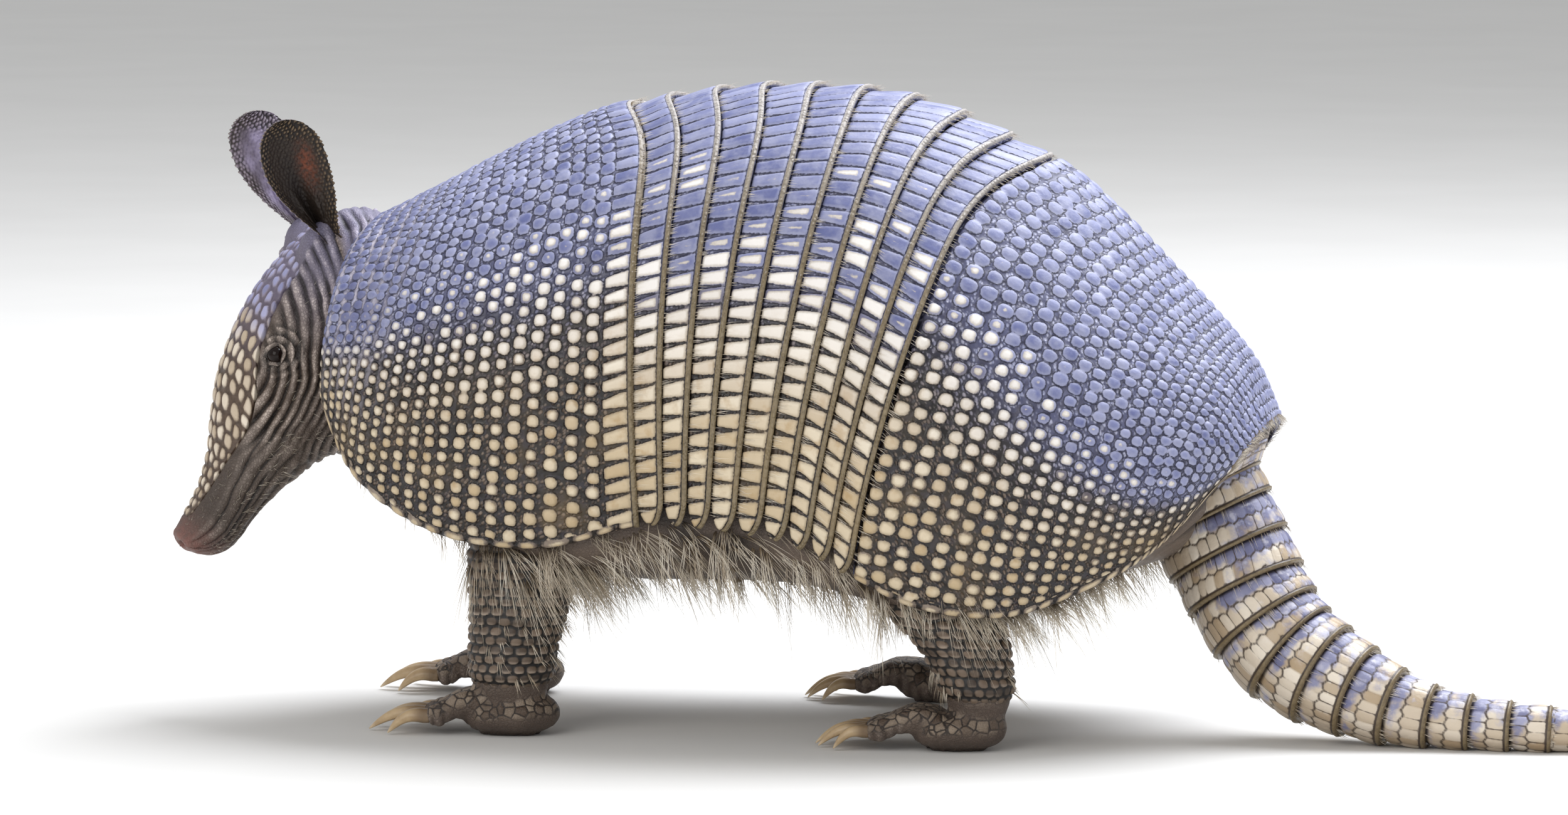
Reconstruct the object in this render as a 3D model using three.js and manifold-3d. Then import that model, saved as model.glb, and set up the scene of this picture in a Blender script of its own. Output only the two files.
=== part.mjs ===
// A nine-banded armadillo at life size, walking with its nose to the ground.
// Millimetres. +Z is up, the head points along -X, its left side is -Y, and the floor is z = 0.
import * as THREE from 'three';
import { mergeVertices } from 'three/addons/utils/BufferGeometryUtils.js';
import Module from 'manifold-3d';

const wasm = await Module();
wasm.setup();

// driving dimensions
const gap = 0.3;                      // clearance between neighbouring pieces
const shellThickness = 4;             // shoulder and hip shields
const bandThickness = 3.4;            // movable bands
const fleshClearance = 1.4;           // flesh below the shell's inner face, so that flat facets never meet
const bandCount = 9;
const bandLap = 0.25;                 // share of a band's pitch left open as the hinge groove
const shellWrap = 116;                // degrees from the spine to a shield's lower rim
const floorFlat = 0;                  // soles and the lying tail end at this level
const headYaw = 28;                   // degrees the head is turned to the left
const headRoot = [-152, 0];           // x, y of the pivot the head is turned about
const napeRise = 3.5;                 // swell of the neck's folds behind the ears
const neckNarrow = 0.97;              // width of the neck's foot as a share of the trunk's
const earHeight = 38.5;
const earWidth = 22.4;
const earBase = 163.5;                // height of an ear's foot above the floor
const earWidest = 0.58;               // share of its height at which an ear is widest
const earThickness = 1.5;
const eyeRadius = 3.3;
const headPlateThickness = 1.6;
const clawReach = 15;
const ringCount = 12;                 // horny rings round the thick half of the tail
const ringPitch = 13.2;

// carapace stations along the body, front rim to rear rim:
// at, spine x and z, lower rim x and z, half width, how far the section's flanks run behind a flat one
const carapaceStations = [
  [0, -141, 167, -147, 108, 56, 0],
  [1, -118, 178.5, -132, 84, 67, 3],
  [2, -95, 190.5, -103, 67.5, 75.5, 6],
  [3, -72, 201.2, -67, 64, 80, 10],
  [4, -51, 208, -33, 72.5, 82, 14],
  [5, -4.7, 214.5, -9, 72, 83, 8],
  [6, 45, 211, 16.5, 68, 83.5, -1],
  [7, 91, 191.5, 38, 57.5, 83, -16],
  [8, 112, 175.5, 60, 47.5, 81.5, -13],
  [9, 131, 156.5, 88, 45, 77, -8],
  [10, 146.5, 140, 114, 54, 69, -4],
  [11, 158, 125, 135.5, 67, 58, 0],
  [12, 166.5, 106, 156, 90, 38, 0],
];
const bowRise = 22;                   // degrees from the spine over which the bow sets in
const shoulderEnd = 4;                // station where the shoulder shield ends and the bands start
const hipStart = 7;                   // station where the hip shield starts
const carapaceEnd = 12;

// how far below its rim the trunk's belly lies, as a share of the spine-to-rim length
const bellyStations = [[0, 1.2], [1, 1.05], [2, 1.04], [4, 1.2], [7, 1.11], [9, 1.03], [11, 1.2],
  [12, 2.5]];

// head and neck stations, back to snout, in the head's own plane (f forward, z up):
// top f and z, bottom f and z, half width
const headStations = [
  [-4, 169, -9, 88, 38],
  [6, 167, 2, 87.5, 32],
  [20, 155.6, 5.5, 87, 27],
  [33, 139, 9, 85.5, 24],
  [41.9, 119.5, 14, 83, 21],
  [45.5, 103, 20.5, 77.5, 17],
  [47.2, 88.8, 28, 70.5, 13],
  [50, 79, 34, 63.5, 11],
  [53.4, 71.5, 39.5, 56.6, 9.8],
  [57, 65.5, 46, 54, 8.6],
  [59, 61, 53, 55, 6],
];
const headPlateSpan = [1.2, 8.4];     // stations covered by the head shield
// turn from the brow's middle at which the head shield ends, by place along the head
const headPlateEdge = [[1.2, 30], [2, 32], [2.5, 34], [3, 40], [3.5, 46], [4, 60], [4.5, 65], [5, 64],
  [5.5, 57], [6, 48], [6.5, 43], [7, 37], [7.5, 31], [8.4, 22]];

// tail path, root to tip: x, y, z of its middle
const tailPath = [
  [139, 0, 83], [146, -1, 70], [154, -3, 55.5], [162, -6, 41.5], [172, -9, 30], [184, -12, 22.5],
  [197, -15, 17], [209, -17.5, 12.8], [222, -19, 10], [240, -20, 8.2], [262, -19.5, 7], [288, -16, 5.9],
  [316, -8, 4.9], [343, 3, 4.1], [371, 17, 3.4], [397, 35, 2.8], [419, 55, 2.2],
];
// radius of the tail by share of its length
const tailRadii = [[0, 22.5], [0.09, 20.8], [0.18, 19.2], [0.226, 18], [0.27, 15.6], [0.307, 13],
  [0.347, 10.4], [0.4, 8.6], [0.54, 6.2], [0.72, 4.3], [1, 2.2]];

const legs = {
  front_left: { side: -1, knee: -76, ankle: -81, root: -68, spread: 50, toes: 4, reach: 37, heel: 16 },
  front_right: { side: 1, knee: -92, ankle: -103, root: -76, spread: 49, toes: 4, reach: 37, heel: 16 },
  hind_left: { side: -1, knee: 64, ankle: 77, root: 62, spread: 56, toes: 5, reach: 47, heel: 10 },
  hind_right: { side: 1, knee: 46, ankle: 50, root: 56, spread: 56, toes: 5, reach: 47, heel: 10 },
};

const radians = THREE.MathUtils.degToRad;
const mix = THREE.MathUtils.lerp;
const animal = new THREE.Group();

// finishes
const finish = (color, roughness) => new THREE.MeshStandardMaterial({ color, roughness, metalness: 0 });
const finishes = {
  shell: () => finish(0x9a9486, 0.55),
  band: () => finish(0xb3a78f, 0.5),
  skin: () => finish(0x6b564a, 0.8),
  ear: () => finish(0x5d4a42, 0.75),
  claw: () => finish(0xb9a684, 0.4),
  eye: () => finish(0x120d0a, 0.1),
  tail: () => finish(0xa69a86, 0.55),
};

// smooth value of one column of a table whose first column is the position
function along(table, at, column) {
  let i = 0;
  while (i < table.length - 2 && at > table[i + 1][0]) i += 1;
  const step = table[i + 1][0] - table[i][0];
  const t = (at - table[i][0]) / step;
  const slope = (j) => {
    const a = table[Math.max(j - 1, 0)];
    const b = table[Math.min(j + 1, table.length - 1)];
    return (b[column] - a[column]) / (b[0] - a[0]);
  };
  const [p, q] = [table[i][column], table[i + 1][column]];
  const [m, n] = [slope(i) * step, slope(i + 1) * step];
  const [t2, t3] = [t * t, t * t * t];
  return (2 * t3 - 3 * t2 + 1) * p + (t3 - 2 * t2 + t) * m + (3 * t2 - 2 * t3) * q + (t3 - t2) * n;
}

// a grid of points, rows of equal length, as a closed body: rows are closed loops, ends are capped
function loft(rows) {
  const points = [];
  const faces = [];
  const n = rows[0].length;
  rows.forEach((row) => row.forEach((p) => points.push(...p)));
  for (let i = 0; i < rows.length - 1; i += 1) {
    for (let j = 0; j < n; j += 1) {
      const [a, b] = [i * n + j, i * n + ((j + 1) % n)];
      faces.push(a, b, b + n, a, b + n, a + n);
    }
  }
  [rows[0], rows[rows.length - 1]].forEach((row, end) => {
    const middle = [0, 1, 2].map((k) => row.reduce((sum, p) => sum + p[k], 0) / n);
    const base = end * (rows.length - 1) * n;
    const tip = points.length / 3;
    points.push(...middle);
    for (let j = 0; j < n; j += 1) {
      const [a, b] = [base + j, base + ((j + 1) % n)];
      faces.push(...(end ? [a, b, tip] : [b, a, tip]));
    }
  });
  return body(points, faces);
}

// an outer and an inner grid of points joined round their rim into one closed plate
function plate(outer, inner) {
  const points = [];
  const faces = [];
  const [rows, n] = [outer.length, outer[0].length];
  const half = rows * n;
  [outer, inner].forEach((grid) => grid.forEach((row) => row.forEach((p) => points.push(...p))));
  for (let i = 0; i < rows - 1; i += 1) {
    for (let j = 0; j < n - 1; j += 1) {
      const a = i * n + j;
      faces.push(a, a + 1, a + n + 1, a, a + n + 1, a + n);
      faces.push(half + a, half + a + n + 1, half + a + 1, half + a, half + a + n, half + a + n + 1);
    }
  }
  const wall = (a, b) => faces.push(b, a, half + a, b, half + a, half + b);
  for (let j = 0; j < n - 1; j += 1) {
    wall(j, j + 1);
    wall((rows - 1) * n + j + 1, (rows - 1) * n + j);
  }
  for (let i = 0; i < rows - 1; i += 1) {
    wall((i + 1) * n, i * n);
    wall(i * n + n - 1, (i + 1) * n + n - 1);
  }
  return body(points, faces);
}

// points and faces as a geometry with its faces outward
function body(points, faces) {
  const geometry = new THREE.BufferGeometry();
  geometry.setAttribute('position', new THREE.Float32BufferAttribute(points, 3));
  const at = (i) => new THREE.Vector3().fromArray(points, i * 3);
  let volume = 0;
  for (let i = 0; i < faces.length; i += 3) {
    volume += at(faces[i]).dot(at(faces[i + 1]).cross(at(faces[i + 2])));
  }
  geometry.setIndex(volume > 0 ? faces : faces.reverse());
  return geometry;
}

// geometry to solid and back
function toSolid(geometry) {
  const bare = geometry.clone();
  bare.deleteAttribute('normal');
  bare.deleteAttribute('uv');
  const merged = mergeVertices(bare, 1e-4);
  return new wasm.Manifold(new wasm.Mesh({
    numProp: 3,
    vertProperties: new Float32Array(merged.attributes.position.array),
    triVerts: new Uint32Array(merged.index.array),
  }));
}

function toGeometry(solid) {
  const mesh = solid.getMesh();
  const geometry = new THREE.BufferGeometry();
  geometry.setAttribute('position', new THREE.BufferAttribute(new Float32Array(mesh.vertProperties), 3));
  geometry.setIndex(new THREE.BufferAttribute(new Uint32Array(mesh.triVerts), 1));
  return geometry;
}

// what is left of a geometry when the others are cut from it, its largest piece only
function cut(geometry, ...others) {
  let solid = toSolid(geometry);
  others.forEach((other) => { solid = solid.subtract(toSolid(other)); });
  const pieces = solid.decompose();
  pieces.sort((a, b) => b.volume() - a.volume());
  return toGeometry(pieces[0]);
}

function add(name, geometry, material) {
  const mesh = new THREE.Mesh(geometry, material);
  geometry.computeVertexNormals();
  mesh.name = name;
  animal.add(mesh);
}

// evenly spaced values from a to b
const spread = (a, b, count) => Array.from({ length: count }, (_, i) => mix(a, b, i / (count - 1)));

// point of the carapace: at = station, turn = degrees from the spine (left negative), depth = below it.
// x and z run from the spine point to the rim point with the turn's cosine, y with its sine, and the bow
// sets in beside the spine and fades towards the rim.
function carapacePoint(at, turn, depth) {
  const columns = [1, 2, 3, 4, 5, 6].map((c) => along(carapaceStations, at, c));
  const [topX, topZ, rimX, rimZ, width, bow] = columns;
  const drop = (1 - Math.cos(radians(turn))) / (1 - Math.cos(radians(shellWrap)));
  const length = Math.hypot(topX - rimX, topZ - rimZ);
  const shrink = 1 - depth / (length / (1 - Math.cos(radians(shellWrap))));
  const middle = 1 / (1 - Math.cos(radians(shellWrap)));
  const share = middle + (drop - middle) * shrink;
  return [
    mix(topX, rimX, share)
      + bow * (1 - Math.exp(-((turn / bowRise) ** 2))) * (1 - (turn / shellWrap) ** 2),
    (width - depth) * Math.sin(radians(turn)),
    mix(topZ, rimZ, share),
  ];
}

// a shield or band between two stations: outer and inner grids
function shellPiece(from, to, rows, columns, thickness, top = 0) {
  const grid = (depth) => spread(from, to, rows).map((at) => (
    spread(-shellWrap, shellWrap, columns).map((turn) => carapacePoint(at, turn, depth))));
  return plate(grid(top), grid(top + thickness));
}

const shoulderShield = (grow) => shellPiece(0, shoulderEnd, 8, 23, shellThickness + 2 * grow, -grow);

function carapace() {
  add('shoulder_shield', shoulderShield(0), finishes.shell());
  const pitch = (hipStart - shoulderEnd) / bandCount;
  for (let k = 0; k < bandCount; k += 1) {
    const start = shoulderEnd + (k + bandLap) * pitch;
    const end = shoulderEnd + (k + 0.985) * pitch;
    add(`band_${k + 1}`, shellPiece(start, end, 2, 19, bandThickness, 0.4), finishes.band());
  }
  const hip = shellPiece(hipStart + bandLap * pitch, carapaceEnd, 9, 23, shellThickness);
  add('hip_shield', hip, finishes.shell());
}

// closed trunk section: the carapace's inner face above, a flattened belly below
function trunkRing(at, grow) {
  const depth = shellThickness + fleshClearance - grow;
  const upper = spread(-shellWrap, shellWrap, 17).map((turn) => carapacePoint(at, turn, depth));
  const [left, right] = [upper[0], upper[upper.length - 1]];
  const top = upper[8];
  const rimMiddle = [(left[0] + right[0]) / 2, 0, (left[2] + right[2]) / 2];
  const belly = along(bellyStations, at, 1) - 1;
  const lower = spread(0, 180, 9).slice(1, -1).map((turn) => {
    const down = belly * Math.sin(radians(turn)) ** 0.8;
    return [
      rimMiddle[0] + (rimMiddle[0] - top[0]) * down,
      right[1] * Math.cos(radians(turn)),
      rimMiddle[2] + (rimMiddle[2] - top[2]) * down,
    ];
  });
  return [...upper, ...lower];
}

const trunkStations = [0.35, 1, 2, 3, 4, 5, 6, 7, 8, 9, 10, 11, 11.7];
const trunkBody = (grow) => loft(trunkStations.map((at) => trunkRing(at, grow)));

// a point given in the head's plane (f forward, z up) and its distance to the left
function headPlace(f, left, z) {
  const yaw = radians(headYaw);
  return [
    headRoot[0] - f * Math.cos(yaw) + left * Math.sin(yaw),
    headRoot[1] - f * Math.sin(yaw) - left * Math.cos(yaw),
    z,
  ];
}

// point of the head or neck surface: an oval between a station's top and bottom points
function headPoint(at, turn, depth) {
  const table = headStations.map((row, i) => [i, ...row]);
  const [topF, topZ, lowF, lowZ, width] = [1, 2, 3, 4, 5].map((c) => along(table, at, c));
  const reach = Math.hypot(topF - lowF, topZ - lowZ) / 2;
  const [sin, cos] = [Math.sin(radians(turn)), Math.cos(radians(turn))];
  const share = 0.5 - 0.5 * cos * (1 - depth / reach);
  return headPlace(mix(topF, lowF, share), -(width - depth) * sin, mix(topZ, lowZ, share));
}

const headRing = (at, grow) => {
  const turns = spread(-180, 180, 21).slice(0, -1);
  return turns.map((turn) => headPoint(at, turn, -grow));
};

function headPlate(grow) {
  const [from, to] = headPlateSpan;
  const grid = (depth) => spread(from - grow * 0.1, to + grow * 0.1, 11).map((at) => {
    const edge = along(headPlateEdge, at, 1) + grow * 2;
    return spread(-edge, edge, 9).map((turn) => headPoint(at, turn, depth));
  });
  return plate(grid(-2 * grow), grid(headPlateThickness + grow));
}

// one ear: an oval leaf, cupped towards its outer side, its narrow foot carried down into the head
function ear(left) {
  const side = left ? 1 : -1;
  const face = (offset) => spread(-0.22, 0.985, 9).map((up) => {
    const low = Math.max(up, 0);
    const swell = low < earWidest
      ? mix(0.3, 1, Math.sin(Math.PI / 2 * low / earWidest) ** 0.95)
      : Math.sqrt(1 - ((low - earWidest) / (1 - earWidest)) ** 2.6);
    return spread(-1, 1, 7).map((across) => {
      const bend = (across * (low < earWidest ? 1 : swell)) ** 2;
      return headPlace(
        10.2 + 13.8 * (1 - (1 - up) ** 2) + 0.5 * earWidth * swell * across,
        side * (12 + 11 * up + 6.4 * bend * (1 - 0.35 * up) - offset),
        earBase + earHeight * up,
      );
    });
  });
  return plate(face(0), face(earThickness));
}

function eyeball(left, radius) {
  const ball = new THREE.SphereGeometry(radius, 12, 8);
  ball.translate(...headPlace(27.8, left ? 19.2 : -19.2, 122.8));
  return ball;
}

// the neck's rings run from the trunk's front face to the back of the head
function neckBody() {
  const trunkFront = trunkRing(trunkStations[0], 0);
  const trunkFace = trunkFront.map((p) => [p[0] - gap - 0.2, p[1] * neckNarrow, p[2]]);
  const below = spread(shellWrap, 360 - shellWrap, 9).slice(1, -1);
  const turns = [...spread(-shellWrap, shellWrap, 17), ...below];
  const headFace = turns.map((turn) => headPoint(1 - gap * 0.09, turn, 0));
  const rows = spread(0, 1, 5).map((t) => trunkFace.map((p, j) => {
    const [x, y, z] = p.map((c, k) => mix(c, headFace[j][k], t));
    return [x, y, z + napeRise * Math.sin(Math.PI * t) * Math.max(Math.cos(radians(turns[j])), 0)];
  }));
  return loft(rows);
}

function headAndNeck() {
  const whole = (grow) => loft(spread(1, headStations.length - 1, 14).map((at) => headRing(at, grow)));
  const sockets = [true, false].map((left) => eyeball(left, eyeRadius + gap));
  add('head', cut(whole(0), headPlate(gap), ...sockets), finishes.skin());
  add('head_shield', headPlate(0), finishes.shell());
  add('ear_left', cut(ear(true), whole(gap), headPlate(gap), neckBody()), finishes.ear());
  add('ear_right', cut(ear(false), whole(gap), headPlate(gap), neckBody()), finishes.ear());
  add('eye_left', eyeball(true, eyeRadius), finishes.eye());
  add('eye_right', eyeball(false, eyeRadius), finishes.eye());
  add('neck', cut(neckBody(), shoulderShield(gap)), finishes.skin());
}

// an oval ring in a level plane
const levelRing = (x, y, z, reachX, reachY, count) => spread(0, 360, count + 1).slice(0, -1).map((turn) => [
  x + reachX * Math.cos(radians(turn)), y + reachY * Math.sin(radians(turn)), z]);

function addLeg(name, leg) {
  const hind = name.startsWith('hind');
  const y = leg.side * leg.spread;
  const rows = hind
    ? [[leg.root, y * 0.82, 98, 27, 13], [mix(leg.root, leg.knee, 0.6), y * 0.9, 70, 26, 14],
      [leg.knee, y * 0.95, 48, 20, 13.5], [mix(leg.knee, leg.ankle, 0.7), y, 32, 14.5, 11.5],
      [leg.ankle, y, 17, 11.5, 10.5]]
    : [[leg.root, y * 0.84, 92, 20, 14], [leg.knee, y * 0.95, 64, 19.5, 14.5],
      [mix(leg.knee, leg.ankle, 0.6), y, 44, 16.5, 14], [leg.ankle, y, 30, 15, 13.5],
      [leg.ankle - 1, y, 17, 14, 13]];
  const rings = rows.map((row) => levelRing(...row, 14));
  add(`leg_${name}`, cut(loft(rings), trunkBody(gap)), finishes.skin());

  // foot: heel to toes, flat underneath
  const footTop = 16.6;
  const heelX = leg.ankle + leg.heel;
  const toeX = leg.ankle - leg.reach + (hind ? 8 : 6);
  const halfWidth = hind ? 12.5 : 13.5;
  const footRows = spread(0, 1, 6).map((t) => {
    const x = mix(heelX, toeX, t);
    const width = halfWidth * (0.62 + 0.38 * Math.sin(Math.PI * Math.min(t * 0.85 + 0.12, 1)) + 0.12 * t);
    const height = mix(footTop, hind ? 8 : 9, Math.max(0, (t - 0.4) / 0.6)) * (t === 0 ? 0.75 : 1);
    return [[-1, floorFlat], [1, floorFlat], [1.06, height * 0.35], [0.8, height * 0.85], [0.3, height],
      [-0.3, height], [-0.8, height * 0.85], [-1.06, height * 0.35]].map(([w, z]) => [x, y + width * w, z]);
  });
  const foot = loft(footRows);
  add(`foot_${name}`, foot, finishes.skin());

  // claws: curved cones from the toes' front, the middle ones longest
  for (let k = 0; k < leg.toes; k += 1) {
    const middle = (leg.toes - 1) / 2;
    const off = (k - middle) / middle;
    const length = clawReach * (1.12 - 0.42 * off * off) * (hind ? 0.9 : 1.1);
    const clawRows = spread(0, 1, 4).map((t) => {
      const radius = mix(hind ? 2.2 : 2.8, 0.35, t ** 1.2);
      const x = toeX - gap + 2.6 * off * off - length * t;
      const z = Math.max(mix(4.6, 0.5, t * t), radius * 0.8 + 0.05);
      return spread(0, 360, 9).slice(0, -1).map((turn) => [
        x, y + off * halfWidth * (0.72 + 0.2 * t) + radius * 0.9 * Math.cos(radians(turn)),
        z + radius * Math.sin(radians(turn)) * 0.8]);
    });
    const growFoot = loft(footRows.map((row) => row.map((p) => [
      p[0] - gap, y + (p[1] - y) * 1.03, p[2] * 1.05])));
    add(`claw_${name}_${k + 1}`, cut(loft(clawRows), growFoot), finishes.claw());
  }
}

// tail pieces: rings carried square to the path, each flaring a little to its rear rim
function tail() {
  const stops = tailPath.map((p) => new THREE.Vector3(...p));
  const curve = new THREE.CatmullRomCurve3(stops, false, 'centripetal');
  curve.arcLengthDivisions = 800;
  const total = curve.getLength();
  const sides = 14;
  const ring = (distance, flare, grow = 0) => {
    const t = THREE.MathUtils.clamp(distance / total, 0, 1);
    const centre = curve.getPointAt(t);
    const forward = curve.getTangentAt(t);
    const across = new THREE.Vector3(0, 0, 1).cross(forward).normalize();
    const up = forward.clone().cross(across).normalize();
    const radius = along(tailRadii, t, 1) + flare + grow;
    return spread(0, 360, sides + 1).slice(0, -1).map((turn) => {
      const p = centre.clone()
        .addScaledVector(across, radius * Math.cos(radians(turn)))
        .addScaledVector(up, radius * Math.sin(radians(turn)));
      return [p.x, p.y, Math.max(p.z, floorFlat)];
    });
  };
  for (let k = 0; k < ringCount; k += 1) {
    const start = k * ringPitch + (k ? gap / 2 : 2);
    const end = (k + 1) * ringPitch - gap / 2;
    const rows = [ring(start, -0.7), ring(mix(start, end, 0.5), 0), ring(mix(start, end, 0.9), 0.7),
      ring(end, 0.5)];
    const geometry = loft(rows);
    const shape = k < 3 ? cut(geometry, trunkBody(gap), hipCutter()) : geometry;
    add(`tail_ring_${k + 1}`, shape, finishes.tail());
  }
  const ringsEnd = ringCount * ringPitch + gap / 2;
  const whipMiddle = mix(ringsEnd, total, 0.5);
  const whip = (from, to, count) => loft(spread(from, to, count).map((d) => ring(d, -0.3)));
  add('tail_whip', whip(ringsEnd, whipMiddle - gap / 2, 7), finishes.tail());
  add('tail_tip', whip(whipMiddle + gap / 2, total, 7), finishes.tail());
}

// the hip shield's rear stretch with clearance, cut from what passes under it
const hipCutter = () => shellPiece(10, carapaceEnd + 0.1, 5, 23, shellThickness + 2 * gap, -gap);

carapace();
add('trunk', trunkBody(0), finishes.skin());
headAndNeck();
Object.entries(legs).forEach(([name, dimensions]) => addLeg(name, dimensions));
tail();

// the whole stands with the origin under the middle of its bounding box
const box = new THREE.Box3().setFromObject(animal);
animal.position.set(-(box.min.x + box.max.x) / 2, -(box.min.y + box.max.y) / 2, -box.min.z);
const object = new THREE.Group();
object.add(animal);

export default object;
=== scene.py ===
import math
import bpy
import numpy as np
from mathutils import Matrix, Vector


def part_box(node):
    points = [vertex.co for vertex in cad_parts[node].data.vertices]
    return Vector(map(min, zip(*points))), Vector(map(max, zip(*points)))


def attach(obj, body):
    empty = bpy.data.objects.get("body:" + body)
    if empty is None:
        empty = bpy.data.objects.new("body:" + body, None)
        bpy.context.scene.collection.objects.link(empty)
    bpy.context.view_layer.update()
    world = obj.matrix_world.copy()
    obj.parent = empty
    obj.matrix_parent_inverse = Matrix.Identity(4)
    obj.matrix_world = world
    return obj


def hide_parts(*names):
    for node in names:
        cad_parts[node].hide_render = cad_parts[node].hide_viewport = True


# A nine-banded armadillo at life size. Shapes are worked out in millimetres, head towards -X, left side
# towards -Y, and go into the meshes in metres. "at" is a place along the body, "turn" is degrees from the
# spine (left negative), "depth" is millimetres below the surface.
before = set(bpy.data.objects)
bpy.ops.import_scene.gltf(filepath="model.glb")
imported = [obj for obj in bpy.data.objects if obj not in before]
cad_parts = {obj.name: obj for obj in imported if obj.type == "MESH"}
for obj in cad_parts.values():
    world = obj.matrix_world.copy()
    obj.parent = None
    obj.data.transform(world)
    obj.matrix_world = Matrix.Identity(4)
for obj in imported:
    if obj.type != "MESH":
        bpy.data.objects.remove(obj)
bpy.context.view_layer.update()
shellFront = -147.0  # x of the shoulder shield's foremost point, in the shapes' own millimetres
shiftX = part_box("shoulder_shield")[0].x * 1000 - shellFront

carapaceTable = np.array([  # at, spine x z, lower rim x z, half width, bow
    [0, -141, 167, -147, 108, 56, 0],
    [1, -118, 178.5, -132, 84, 67, 3],
    [2, -95, 190.5, -103, 67.5, 75.5, 6],
    [3, -72, 201.2, -67, 64, 80, 10],
    [4, -51, 208, -33, 72.5, 82, 14],
    [5, -4.7, 214.5, -9, 72, 83, 8],
    [6, 45, 211, 16.5, 68, 83.5, -1],
    [7, 91, 191.5, 38, 57.5, 83, -16],
    [8, 112, 175.5, 60, 47.5, 81.5, -13],
    [9, 131, 156.5, 88, 45, 77, -8],
    [10, 146.5, 140, 114, 54, 69, -4],
    [11, 158, 125, 135.5, 67, 58, 0],
    [12, 166.5, 106, 156, 90, 38, 0],
])
carapace = dict(wrap=116.0, bowRise=22.0, shoulderEnd=4.0, hipStart=7.0, hipEnd=12.0, bands=9)


# numbers

def along(table, at, column):
    # a column of a table at a place: cubics through its rows, sloped by each row's neighbours
    keys, values = table[:, 0], table[:, column]
    slopes = np.empty(len(keys))
    slopes[1:-1] = (values[2:] - values[:-2]) / (keys[2:] - keys[:-2])
    slopes[0] = (values[1] - values[0]) / (keys[1] - keys[0])
    slopes[-1] = (values[-1] - values[-2]) / (keys[-1] - keys[-2])
    at = np.asarray(at, float)
    i = np.clip(np.searchsorted(keys, at, side="left") - 1, 0, len(keys) - 2)
    step = keys[i + 1] - keys[i]
    t = (at - keys[i]) / step
    t2, t3 = t * t, t * t * t
    return ((2 * t3 - 3 * t2 + 1) * values[i] + (t3 - 2 * t2 + t) * slopes[i] * step
            + (3 * t2 - 2 * t3) * values[i + 1] + (t3 - t2) * slopes[i + 1] * step)


def mix(a, b, t):
    # a at 0, b at 1
    return a + (b - a) * t


def ease(low, high, x):
    # 0 below low, 1 above high, an S between them
    t = np.clip((x - low) / (high - low), 0, 1)
    return t * t * (3 - 2 * t)


def hump(x, middle, width):
    # a bell of height 1 round the middle
    return np.exp(-((x - middle) / width) ** 2)


def chance(i, j, seed):
    # a repeatable value 0 to 1 for a cell: the fraction left by a large sine
    return np.modf(np.abs(np.sin(i * 12.9898 + j * 78.233 + seed * 37.719) * 43758.5453))[0]


def roughness(points, size, seed, octaves=3):
    # soft noise -1 to 1 over points: corner values of a lattice eased together, octaves halving in size
    total = np.zeros(points.shape[:-1])
    for octave in range(octaves):
        scaled = points / (size / 2 ** octave) + 17.3 * seed
        cell = np.floor(scaled)
        part = scaled - cell
        part = part * part * (3 - 2 * part)
        value = np.zeros(total.shape)
        for corner in np.ndindex(2, 2, 2):
            weight = np.prod(np.where(np.array(corner) == 1, part, 1 - part), axis=-1)
            i, j, k = np.moveaxis(cell + corner, -1, 0)
            value += weight * (chance(i + 31.7 * k, j - 11.3 * k, seed) * 2 - 1)
        total += value / 2 ** octave
    return total / (2 - 0.5 ** (octaves - 1))


def unit(vectors):
    # the same directions with length 1
    return vectors / np.maximum(np.linalg.norm(vectors, axis=-1, keepdims=True), 1e-9)


def grid(down, across):
    # two parameters spread over the rows and columns of a grid
    return np.meshgrid(down, across, indexing="ij")


def circle(count):
    # even angles round a closed ring, in degrees
    return np.linspace(0, 360, count, endpoint=False)


def lengthsAlong(points, axis):
    # running length over a grid of points along one axis
    steps = np.linalg.norm(np.diff(points, axis=axis), axis=-1)
    start = np.zeros_like(np.take(steps, [0], axis=axis))
    return np.concatenate([start, np.cumsum(steps, axis=axis)], axis=axis)


def fromMiddle(points):
    # running length across the rows of a grid, 0 in its middle column
    run = lengthsAlong(points, 1)
    return run - run[:, [points.shape[1] // 2]]


def padded(values, count, fill=0.0):
    # a grid's values as one row, continued with a fill value for the points that follow the grid's
    flat = np.asarray(values, float).ravel()
    return np.concatenate([flat, np.full(count - len(flat), fill)])


# meshes

def gridFaces(rows, columns, closed=False, start=0):
    # quads of a grid of points; closed joins the last column to the first
    j = np.arange(columns if closed else columns - 1)
    i = np.arange(rows - 1)[:, None]
    a = start + i * columns + j
    b = start + i * columns + (j + 1) % columns
    return np.stack([a, b, b + columns, a + columns], axis=-1).reshape(-1, 4)


def borderLoop(rows, columns):
    # indices of a grid's points once round its border
    index = np.arange(rows * columns).reshape(rows, columns)
    return np.concatenate([index[0, :-1], index[:-1, -1], index[-1, :0:-1], index[:0:-1, 0]])


def outwardFaces(points, faces):
    # the same faces, turned round when the closed mesh's signed volume is negative
    volume = 0.0
    for f in faces:
        a, b, c = points[f[:, 0]], points[f[:, 1]], points[f[:, 2]]
        volume += np.sum(a * np.cross(b, c))
        if f.shape[1] == 4:
            volume += np.sum(a * np.cross(c, points[f[:, 3]]))
    return faces if volume > 0 else [f[:, ::-1] for f in faces]


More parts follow.
